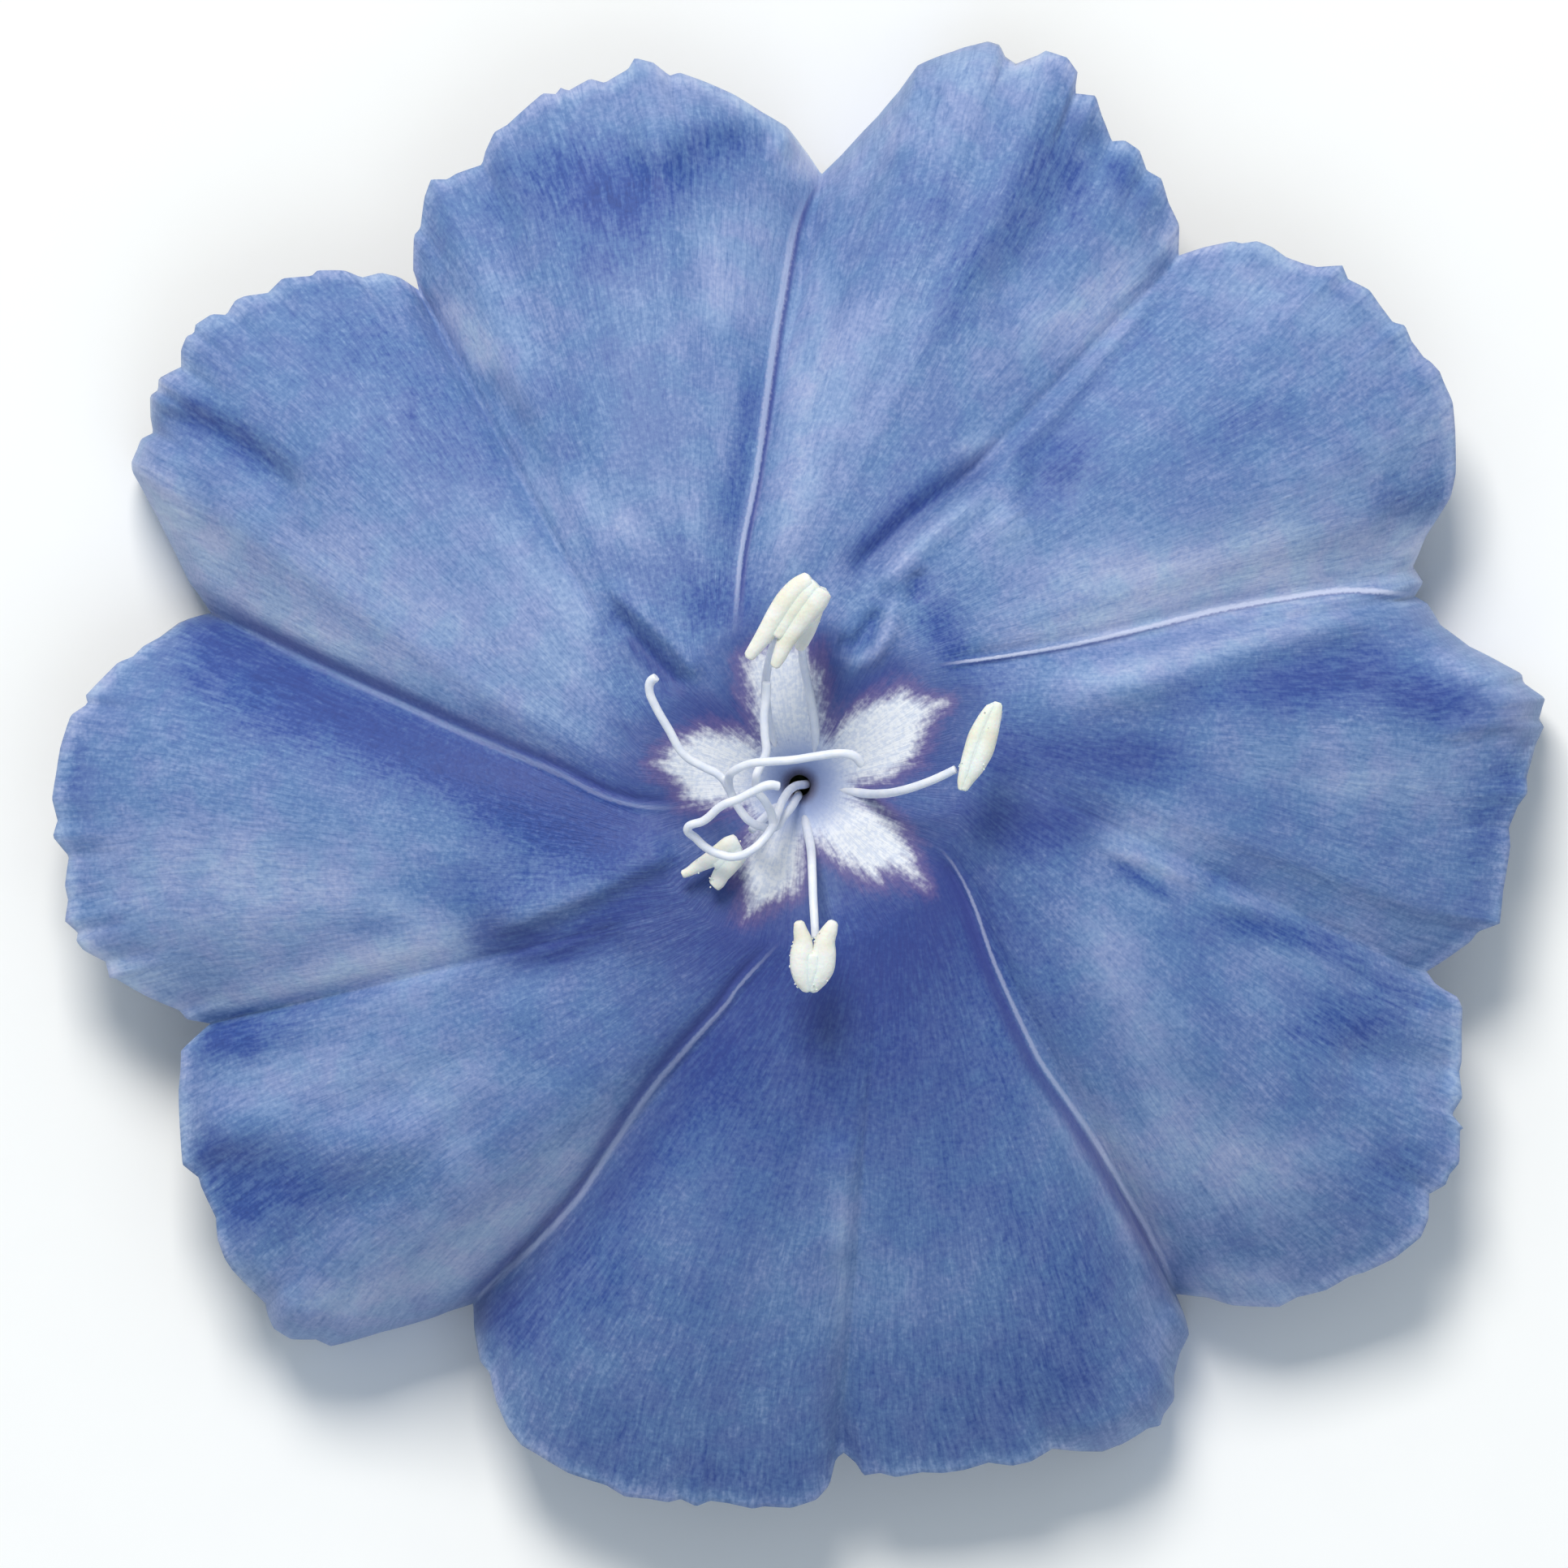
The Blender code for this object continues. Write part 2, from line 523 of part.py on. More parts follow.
def main():
    clear_scene()
    make_corolla()
    make_filaments()
    make_anthers()
    make_pistil()
    make_stalk()
    for number in range(SEPALS):
        make_sepal(number)


main()
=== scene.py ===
# %% [markdown]
# # One dwarf morning glory, seen from straight above
#
# The bloom is about 24 mm across. Its five petals are grown together into one funnel, and it lies
# face up on the curled margins of its petals. This lesson dresses the plain solids of the frame:
# it models a finer sheet of petals, threads, pollen sacs and calyx, and paints them by nodes.
#
# First the frame is loaded. Its solids say where every piece lies, so nothing is fitted by eye.

import math
import random

import bpy
import numpy as np
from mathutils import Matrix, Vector, noise


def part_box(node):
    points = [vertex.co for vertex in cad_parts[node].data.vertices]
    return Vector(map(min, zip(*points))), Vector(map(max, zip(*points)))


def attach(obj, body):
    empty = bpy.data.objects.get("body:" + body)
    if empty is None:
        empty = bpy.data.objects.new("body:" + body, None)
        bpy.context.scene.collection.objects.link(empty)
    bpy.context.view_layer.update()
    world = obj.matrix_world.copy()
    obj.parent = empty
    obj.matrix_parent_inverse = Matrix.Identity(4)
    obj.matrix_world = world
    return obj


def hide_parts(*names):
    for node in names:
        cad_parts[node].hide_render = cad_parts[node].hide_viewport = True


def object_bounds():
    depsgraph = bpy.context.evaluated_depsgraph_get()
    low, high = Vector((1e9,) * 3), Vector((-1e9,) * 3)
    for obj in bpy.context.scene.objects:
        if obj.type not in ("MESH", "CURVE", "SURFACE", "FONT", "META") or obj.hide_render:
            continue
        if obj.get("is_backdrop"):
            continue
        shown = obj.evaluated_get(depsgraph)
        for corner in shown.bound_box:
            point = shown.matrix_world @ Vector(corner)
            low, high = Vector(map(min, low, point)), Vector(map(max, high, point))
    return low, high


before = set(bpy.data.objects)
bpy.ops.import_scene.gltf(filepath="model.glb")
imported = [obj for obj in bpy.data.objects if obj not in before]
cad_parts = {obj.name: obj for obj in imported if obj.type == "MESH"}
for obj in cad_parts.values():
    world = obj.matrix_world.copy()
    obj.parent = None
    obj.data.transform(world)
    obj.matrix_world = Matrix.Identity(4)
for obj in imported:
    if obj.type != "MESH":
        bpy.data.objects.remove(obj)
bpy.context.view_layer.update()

# %% [markdown]
# ## Units and the throat
#
# Shapes are worked out in millimetres from the throat's axis, because a flower is built round it.
# The ovary sits on that axis, so the middle of its solid gives the axis in the frame. Places seen in
# the photograph are named as pixels of its 1932 by 1932 frame, and one scale turns them into mm.

# %% Throat, scale and the way back to the frame
MM = 0.001
MM_PER_PIXEL = 0.013
THROAT_PIXEL = (985.0, 968.0)
PICTURE_MIDDLE = (966.0, 966.0)
PICTURE_WIDTH = 1932

ovary_low, ovary_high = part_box("ovary")
THROAT = np.array([(ovary_low.x + ovary_high.x) / 2, (ovary_low.y + ovary_high.y) / 2, 0.0]) / MM


def plan(pixel):
    """Millimetres right of the throat and towards the top of the picture."""
    return ((pixel[0] - THROAT_PIXEL[0]) * MM_PER_PIXEL, (THROAT_PIXEL[1] - pixel[1]) * MM_PER_PIXEL)


def to_row(points):
    """Metres in the frame, for millimetres round the throat."""
    return (np.asarray(points, float) + THROAT) * MM


print("throat's axis in mm:", THROAT.round(3))

# %% [markdown]
# ## Camera, light and table
#
# The photograph looks straight down with a long lens, so its camera is copied first, and every later
# step can be compared with the picture. The light there is soft and comes from the picture's top,
# which leaves the far side of each fold dark. A warm window light does that. A weak bluish light from
# the other side and a bluish world fill the shade, as a sky would.

# %% Camera
CAMERA_HEIGHT = 0.5
RIM_LEVEL = 0.002
FRAME_WIDTH = PICTURE_WIDTH * MM_PER_PIXEL * MM
SENSOR = 36.0

middle_x, middle_y = to_row((*plan(PICTURE_MIDDLE), 0.0))[:2]
camera_data = bpy.data.cameras.new("camera")
camera_data.sensor_width = SENSOR
camera_data.lens = SENSOR * (CAMERA_HEIGHT - RIM_LEVEL) / FRAME_WIDTH
camera_data.clip_start = 0.01
camera = bpy.data.objects.new("camera", camera_data)
camera.location = (middle_x, middle_y, CAMERA_HEIGHT)
bpy.context.scene.collection.objects.link(camera)
bpy.context.scene.camera = camera
bpy.context.scene.view_settings.view_transform = "Standard"
print("lens in mm:", round(camera_data.lens, 1))


# %% Lights
WORLD_BLUE = (0.79, 0.9, 1.0, 1.0)
WORLD_STRENGTH = 0.43


def area_light(name, place, size, power, colour):
    """A square lamp at a place in m that shines at the bloom."""
    light = bpy.data.lights.new(name, "AREA")
    light.size = size
    light.energy = power
    light.color = colour
    lamp = bpy.data.objects.new(name, light)
    lamp.location = place
    lamp.rotation_euler = Vector(place).to_track_quat("Z", "Y").to_euler()
    bpy.context.scene.collection.objects.link(lamp)


area_light("window", place=(-0.05, 0.235, 0.285), size=0.14, power=1.16, colour=(1.0, 0.96, 0.885))
area_light("fill", place=(0.08, -0.22, 0.3), size=0.3, power=0.2, colour=(0.76, 0.87, 1.0))

world = bpy.data.worlds.new("studio")
world.use_nodes = True
background = world.node_tree.nodes["Background"]
background.inputs["Color"].default_value = WORLD_BLUE
background.inputs["Strength"].default_value = WORLD_STRENGTH
bpy.context.scene.world = world

# %% [markdown]
# ## Helpers for nodes
#
# Every finish below is a small network of nodes. A few helpers keep them short: one adds a node and
# fills or links its sockets by name, others blend two colours, make a smooth step of a value, read a
# ramp of colours, reckon, and read an attribute of the mesh.

# %% Node helpers
def new_material(name, viewport):
    material = bpy.data.materials.new(name)
    material.use_nodes = True
    material.diffuse_color = (*viewport, 1.0)
    return material, material.node_tree, material.node_tree.nodes["Principled BSDF"]


def add(tree, kind, settings=None, **sockets):
    """Adds a node. Sockets are given by name, with _ for a space, as a value or an output to link."""
    node = tree.nodes.new(kind)
    for name, value in (settings or {}).items():
        setattr(node, name, value)
    for name, value in sockets.items():
        socket = node.inputs[name.replace("_", " ")]
        if isinstance(value, bpy.types.NodeSocket):
            tree.links.new(value, socket)
        else:
            socket.default_value = value
    return node


def blend(tree, share, low, high, how="MIX"):
    """The colour between low and high at a share that is a number or an output."""
    node = tree.nodes.new("ShaderNodeMix")
    node.data_type = "RGBA"
    node.blend_type = how
    for slot, value in ((0, share), (6, low), (7, high)):
        if isinstance(value, bpy.types.NodeSocket):
            tree.links.new(value, node.inputs[slot])
        else:
            node.inputs[slot].default_value = value if slot == 0 else (*value, 1.0)
    return node.outputs[2]


def step(tree, value, low, high, to_low=0.0, to_high=1.0):
    """A smooth step of a value between two of its readings."""
    node = add(tree, "ShaderNodeMapRange", {"interpolation_type": "SMOOTHSTEP"}, Value=value,
               From_Min=low, From_Max=high, To_Min=to_low, To_Max=to_high)
    return node.outputs["Result"]


def ramp(tree, value, stops):
    """A colour for a value, straight between stops of (reading, colour)."""
    low, high = stops[0][0], stops[-1][0]
    share = add(tree, "ShaderNodeMapRange", Value=value, From_Min=low, From_Max=high)
    node = add(tree, "ShaderNodeValToRGB", Fac=share.outputs["Result"])
    while len(node.color_ramp.elements) < len(stops):
        node.color_ramp.elements.new(0.5)
    for element, (reading, colour) in zip(node.color_ramp.elements, stops):
        element.position = (reading - low) / (high - low)
        element.color = (*colour, 1.0)
    return node.outputs["Color"]


def maths(tree, how, first, second=0.5):
    node = tree.nodes.new("ShaderNodeMath")
    node.operation = how
    for slot, value in enumerate((first, second)):
        if isinstance(value, bpy.types.NodeSocket):
            tree.links.new(value, node.inputs[slot])
        else:
            node.inputs[slot].default_value = value
    return node.outputs[0]


def attribute(tree, name):
    return add(tree, "ShaderNodeAttribute", {"attribute_name": name})


# %% [markdown]
# ## The table
#
# A plain pale sheet with a trace of grain, so that the bloom's soft shadow has something to lie on.

# %% Table
TABLE_SIZE = 2.0
TABLE_WHITES = ((0.95, 0.95, 0.95), (0.97, 0.97, 0.965))

bpy.ops.object.select_all(action="DESELECT")
bpy.ops.mesh.primitive_plane_add(size=TABLE_SIZE, location=(0.0, 0.0, 0.0))
table = bpy.context.object
table.name = "table"
material, tree, shader = new_material("pale table", (0.9, 0.9, 0.9))
grain = add(tree, "ShaderNodeTexNoise", Vector=add(tree, "ShaderNodeTexCoord").outputs["Object"],
            Scale=900.0, Detail=3.0)
tree.links.new(blend(tree, grain.outputs["Fac"], *TABLE_WHITES), shader.inputs["Base Color"])
shader.inputs["Roughness"].default_value = 0.9
shader.inputs["Specular IOR Level"].default_value = 0.1
table.data.materials.append(material)
table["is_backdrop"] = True
print("table:", TABLE_SIZE, "m")

# %% [markdown]
# ## The rim
#
# The ten lobes are what makes this outline: each of the five petals ends in two, and deep notches
# part the petals. The rim is given as a few points a lobe, as degrees and mm from the throat, and a
# smooth curve runs through them. The fine teeth of the margin are no two alike, so their corners are
# read off the photograph, lobe by lobe, and only the last millimetre of the petal follows them.

# %% Rim outline
LOBES = (
    ((163.4, 9.85), (161.6, 10.31), (159.5, 10.7), (157.3, 11.2), (154.9, 11.82), (152.0, 11.95),
     (148.5, 12.1), (144.0, 12.13), (140.5, 11.95), (136.5, 11.6), (132.5, 11.15),
     (129.5, 10.65), (127.4, 9.95)),
    ((127.4, 9.95), (126.6, 10.35), (124.6, 10.78), (121.8, 11.3), (118.0, 11.2), (114.8, 11.55),
     (110.0, 11.8), (105.5, 11.72), (102.6, 11.92), (99.5, 11.58), (95.4, 11.13),
     (91.6, 10.6), (89.2, 10.17), (87.6, 9.8)),
    ((87.6, 9.8), (85.6, 10.29), (83.0, 10.9), (80.5, 11.76), (76.5, 12.26), (73.7, 12.08),
     (71.0, 12.4), (68.4, 12.05), (66.0, 11.82), (63.0, 11.58), (60.0, 11.33),
     (57.5, 11.05), (55.8, 10.85), (54.4, 10.4)),
    ((54.4, 10.4), (53.3, 10.75), (51.0, 11.2), (47.3, 11.52), (43.8, 12.0), (40.0, 12.08),
     (35.0, 12.15), (31.0, 12.17), (28.0, 11.92), (25.0, 11.6), (22.2, 10.9),
     (19.6, 10.44), (18.0, 10.5), (17.1, 10.32)),
    ((17.1, 10.32), (16.0, 10.5), (14.0, 10.62), (11.7, 10.98), (9.2, 11.62), (6.8, 12.02),
     (4.0, 11.93), (0.5, 11.66), (-3.0, 11.42), (-7.0, 11.42), (-11.0, 11.41),
     (-12.6, 11.08), (-15.0, 10.72), (-16.5, 10.45)),
    ((-16.5, 10.45), (-17.5, 10.85), (-18.6, 11.2), (-22.0, 11.47), (-25.5, 11.72), (-29.0, 12.03),
     (-32.5, 12.15), (-36.2, 12.26), (-41.0, 11.9), (-45.5, 11.45), (-49.5, 10.95),
     (-51.8, 10.42), (-53.5, 10.14)),
    ((-53.5, 10.14), (-54.2, 10.65), (-55.8, 10.95), (-57.7, 11.3), (-59.5, 11.65), (-63.0, 11.78),
     (-66.0, 11.68), (-69.5, 11.42), (-74.0, 11.3), (-79.0, 11.2), (-83.5, 11.1),
     (-85.2, 10.92), (-86.2, 10.7)),
    ((-86.2, 10.7), (-87.2, 11.1), (-88.6, 11.44), (-91.5, 11.58), (-96.0, 11.55), (-101.0, 11.66),
     (-105.0, 11.66), (-109.5, 11.6), (-113.5, 11.4), (-116.2, 11.0), (-118.4, 10.62),
     (-120.5, 10.24), (-122.5, 9.82)),
    ((-122.5, 9.82), (-124.5, 10.37), (-127.4, 11.05), (-130.0, 11.72), (-134.0, 12.1),
     (-137.0, 11.95), (-141.0, 11.88), (-145.0, 11.56), (-148.6, 11.55), (-153.0, 11.15),
     (-156.3, 10.82), (-158.0, 10.16)),
    ((-158.0, 10.16), (-159.4, 10.5), (-162.2, 11.01), (-164.8, 11.45), (-168.0, 11.82),
     (-172.0, 11.87), (-176.0, 11.94), (-181.0, 11.92), (-185.0, 11.75), (-189.0, 11.28),
     (-192.5, 10.65), (-194.8, 10.28), (-196.6, 9.85)),
)


def smooth_through(places, heights, at):
    """The smooth curve through points in rising order of place, read at many places."""
    places, heights = np.array(places, float), np.array(heights, float)
    before, after = np.r_[0, 0:len(places) - 1], np.r_[1:len(places), len(places) - 1]
    slopes = (heights[after] - heights[before]) / (places[after] - places[before])
    i = np.clip(np.searchsorted(places, at, side="right") - 1, 0, len(places) - 2)
    run = places[i + 1] - places[i]
    s = (at - places[i]) / run
    return (heights[i] * (2 * s**3 - 3 * s**2 + 1) + heights[i + 1] * (3 * s**2 - 2 * s**3)
            + run * slopes[i] * (s**3 - 2 * s**2 + s) + run * slopes[i + 1] * (s**3 - s**2))


def ease(low, high, value):
    s = np.clip((value - low) / (high - low), 0.0, 1.0)
    return s * s * (3 - 2 * s)


def bell(distance, width):
    return np.exp(-((distance / width) ** 2))


def rim_at(u):
    """Degrees and radius of the rim at u, which counts lobes clockwise from the left notch."""
    degrees, radius = np.zeros_like(u), np.zeros_like(u)
    for number, lobe in enumerate(LOBES):
        here = (np.floor(u) % len(LOBES)) == number
        start, end = lobe[0][0], lobe[-1][0]
        degrees[here] = start + (end - start) * (u[here] % 1.0)
        radius[here] = smooth_through([-d for d, _ in lobe], [r for _, r in lobe], -degrees[here])
    return degrees, radius


# %% Teeth of the rim
TOOTH_CORNERS = (
    ((259, 751), (232, 718), (214, 680), (192, 636), (172, 600), (161, 580), (160, 569), (172, 540),
     (187, 532), (184, 513), (184, 487), (194, 480), (195, 466), (210, 458), (223, 452), (223, 431),
     (230, 414), (239, 411), (241, 400), (261, 387), (279, 388), (290, 370), (301, 365), (330, 361),
     (348, 343), (384, 340), (391, 333), (424, 333), (446, 342), (469, 336), (491, 341), (518, 358)),
    ((518, 358), (509, 333), (510, 290), (518, 281), (523, 243), (531, 221), (551, 221), (562, 214),
     (594, 203), (598, 187), (609, 163), (625, 154), (669, 115), (685, 116), (691, 108), (700, 112),
     (727, 97), (745, 102), (774, 85), (782, 71), (805, 77), (825, 93), (837, 89), (868, 100),
     (904, 116), (939, 138), (970, 156), (993, 185), (1016, 213)),
    ((1016, 213), (1046, 179), (1082, 141), (1109, 109), (1131, 78), (1142, 73), (1189, 56),
     (1218, 49), (1232, 54), (1239, 69), (1252, 78), (1281, 67), (1288, 62), (1315, 71), (1329, 91),
     (1323, 115), (1350, 118), (1357, 141), (1370, 174), (1386, 173), (1404, 185), (1413, 210),
     (1431, 220), (1440, 250), (1453, 277), (1452, 315)),
    ((1452, 315), (1482, 305), (1520, 297), (1529, 300), (1549, 297), (1567, 304), (1585, 317),
     (1607, 325), (1623, 329), (1654, 327), (1661, 344), (1687, 357), (1701, 377), (1716, 397),
     (1731, 401), (1739, 420), (1754, 440), (1763, 446), (1774, 458), (1779, 471), (1790, 495),
     (1793, 527), (1794, 583), (1788, 612), (1757, 661), (1742, 698), (1756, 717), (1745, 734)),
    ((1745, 734), (1761, 743), (1777, 770), (1812, 796), (1861, 821), (1877, 830), (1879, 841),
     (1906, 860), (1898, 886), (1904, 895), (1893, 917), (1881, 957), (1882, 977), (1870, 993),
     (1859, 1020), (1861, 1042), (1857, 1069), (1852, 1098), (1848, 1138), (1821, 1148),
     (1812, 1160), (1777, 1185), (1758, 1197)),
    ((1758, 1197), (1770, 1214), (1797, 1229), (1802, 1243), (1801, 1268), (1801, 1308), (1798, 1321),
     (1802, 1352), (1789, 1373), (1803, 1390), (1799, 1393), (1798, 1433), (1786, 1447),
     (1781, 1460), (1761, 1471), (1760, 1502), (1751, 1524), (1719, 1550), (1681, 1568),
     (1663, 1573), (1634, 1590), (1598, 1599), (1576, 1611), (1518, 1609), (1489, 1600), (1450, 1596)),
    ((1450, 1596), (1462, 1625), (1467, 1645), (1455, 1669), (1448, 1696), (1448, 1727), (1435, 1745),
     (1431, 1759), (1415, 1762), (1397, 1774), (1382, 1782), (1359, 1790), (1330, 1789), (1297, 1785),
     (1270, 1801), (1247, 1806), (1218, 1802), (1189, 1811), (1162, 1815), (1136, 1814),
     (1104, 1820), (1084, 1815), (1064, 1818), (1055, 1803), (1040, 1790)),
    ((1040, 1790), (1030, 1797), (1022, 1830), (1006, 1848), (975, 1858), (941, 1856), (928, 1859),
     (897, 1852), (875, 1849), (858, 1856), (839, 1847), (823, 1851), (801, 1847), (770, 1844),
     (747, 1830), (700, 1815), (658, 1790), (642, 1781), (625, 1759), (611, 1727), (603, 1692),
     (591, 1678), (585, 1647), (579, 1606)),
    ((579, 1606), (533, 1625), (469, 1643), (406, 1661), (388, 1652), (357, 1652), (335, 1638),
     (328, 1620), (326, 1607), (286, 1565), (277, 1551), (268, 1527), (266, 1500), (248, 1462),
     (245, 1451), (225, 1435), (222, 1397), (220, 1344), (222, 1321), (223, 1294), (259, 1261)),
    ((259, 1261), (230, 1256), (221, 1245), (179, 1227), (143, 1206), (135, 1205), (130, 1185),
     (103, 1171), (94, 1160), (96, 1149), (80, 1135), (84, 1109), (80, 1091), (85, 1055),
     (65, 1031), (71, 1011), (64, 984), (69, 953), (74, 921), (82, 895), (87, 881), (108, 867),
     (105, 857), (127, 834), (145, 816), (163, 809), (176, 796), (196, 785), (219, 767), (259, 751)),
)
TOOTH_START = 0.85
LOBE_OVERLAP_DEG = 5.0


def toothed_rim(u, degrees):
    """Radius of the rim with its teeth, for places whose degrees are known."""
    radius = np.zeros_like(u)
    for number, corners in enumerate(TOOTH_CORNERS):
        here = (np.floor(u) % len(LOBES)) == number
        places = np.array([plan(corner) for corner in corners])
        along = -np.degrees(np.arctan2(places[:, 1], places[:, 0]))
        along = along[0] + (along - along[0] + LOBE_OVERLAP_DEG) % 360.0 - LOBE_OVERLAP_DEG
        order = np.argsort(along)
        shift = (-degrees[here] - along[0] + LOBE_OVERLAP_DEG) % 360.0 - LOBE_OVERLAP_DEG
        radius[here] = np.interp(along[0] + shift, along[order], np.hypot(*places.T)[order])
    return radius


_, sample = rim_at(np.linspace(0.0, 9.999, 2000))
print("rim from", sample.min().round(2), "to", sample.max().round(2), "mm")

# %% [markdown]
# ## Creases and folds
#
# Where two petals are joined runs a crease: a shallow valley, wider on one side, with a fine rib in
# it and a thin groove beside the rib. Besides, the limb is crumpled by a few soft folds left from the
# bud. Both are strokes drawn over the limb as if with a sculpting brush: a route, a height or depth,
# and a width on either side. A hand would sculpt them, and strokes in code can be read and changed.
# The looks of each crease, a pale rib that is partly a painted highlight and a painted shade line beside
# it, are kept next to its form, because the finish paints the same routes.

# %% Creases, from the throat out to the notches
CREASES = (
    # valley depth, its width left and right of the route, rib height, groove depth left and right,
    # where the rib starts to fade, and the route
    (0.12, 0.45, 0.3, 0.02, 0.01, 0.03, 0.6,
     ((905, 790), (913, 687), (931, 594), (945, 491), (954, 424), (963, 370), (971, 321), (980, 277),
      (995, 238), (1016, 213))),
    (0.12, 0.16, 0.42, 0.038, 0.0, 0.045, 0.9,
     ((1149, 821), (1232, 810), (1321, 795), (1411, 774), (1500, 752), (1589, 736), (1647, 728),
      (1687, 728), (1745, 734))),
    (0.12, 0.22, 0.35, 0.02, 0.0, 0.03, 0.9,
     ((1154, 1042), (1176, 1069), (1198, 1113), (1225, 1189), (1270, 1287), (1290, 1321), (1335, 1384),
      (1379, 1455), (1411, 1509), (1433, 1553), (1450, 1596))),
    (0.12, 0.4, 0.22, 0.012, 0.01, 0.03, 0.75,
     ((966, 1154), (912, 1212), (895, 1236), (850, 1286), (801, 1344), (747, 1424), (712, 1477),
      (662, 1531), (600, 1589), (579, 1606))),
    (0.11, 0.5, 0.25, 0.01, 0.01, 0.03, 0.45,
     ((868, 993), (801, 995), (747, 982), (689, 953), (625, 926), (558, 897), (491, 866), (424, 837),
      (357, 805), (290, 771), (259, 751))),
)
CREASE_LOOKS = (
    # half width of the pale rib, partly a painted highlight, and width of the painted shade line on its
    # right in mm, how pale, how dark
    (0.075, 0.11, 0.44, 0.8),
    (0.05, 0.05, 0.85, 0.5),
    (0.045, 0.26, 0.42, 0.7),
    (0.055, 0.2, 0.3, 0.6),
    (0.06, 0.24, 0.2, 0.65),
)
CREASE_STARTS = (0.0, 0.12)
RIB_WIDTH = 0.06
GROOVE_WIDTH = 0.06
GROOVE_FROM_RIB = 0.11
ROUTE_PIECES = 4


def rounded(pixels):
    """A route with a smooth curve through its points instead of corners."""
    places = np.array(pixels, float)
    before, after = np.vstack((places[:1], places[:-1])), np.vstack((places[1:], places[-1:]))
    slopes = (after - before) / 2
    route = []
    for i in range(len(places) - 1):
        for piece in range(ROUTE_PIECES):
            s = piece / ROUTE_PIECES
            route.append(places[i] * (2 * s**3 - 3 * s**2 + 1) + places[i + 1] * (3 * s**2 - 2 * s**3)
                         + slopes[i] * (s**3 - 2 * s**2 + s) + slopes[i + 1] * (s**3 - s**2))
    return route + [places[-1]]


def along_route(x, y, pixels):
    """Distance from a route, which side of it (1 left, -1 right), and how far along, from 0 to 1."""
    points = [plan(pixel) for pixel in pixels]
    nearest = np.full_like(x, 1e9)
    side, along = np.ones_like(x), np.zeros_like(x)
    for i, ((x0, y0), (x1, y1)) in enumerate(zip(points, points[1:])):
        dx, dy = x1 - x0, y1 - y0
        s = np.clip(((x - x0) * dx + (y - y0) * dy) / (dx * dx + dy * dy), 0.0, 1.0)
        away_x, away_y = x - x0 - s * dx, y - y0 - s * dy
        distance = np.hypot(away_x, away_y)
        closer = distance < nearest
        nearest = np.where(closer, distance, nearest)
        side = np.where(closer, np.sign(dx * away_y - dy * away_x), side)
        along = np.where(closer, (i + s) / (len(points) - 1), along)
    return nearest, side, along


def crease_height(x, y, fine):
    total = np.zeros_like(x)
    for valley, wide_left, wide_right, rib, groove_left, groove_right, fade, pixels in CREASES:
        distance, side, along = along_route(x, y, rounded(pixels))
        start = ease(*CREASE_STARTS, along)
        total -= valley * bell(distance, np.where(side > 0, wide_left, wide_right)) * start
        if fine:
            signed = distance * side
            total += rib * bell(signed, RIB_WIDTH) * start * ease(1.0, fade, along)
            total -= groove_left * bell(signed - GROOVE_FROM_RIB, GROOVE_WIDTH) * start
            total -= groove_right * bell(signed + GROOVE_FROM_RIB, GROOVE_WIDTH) * start
    return total


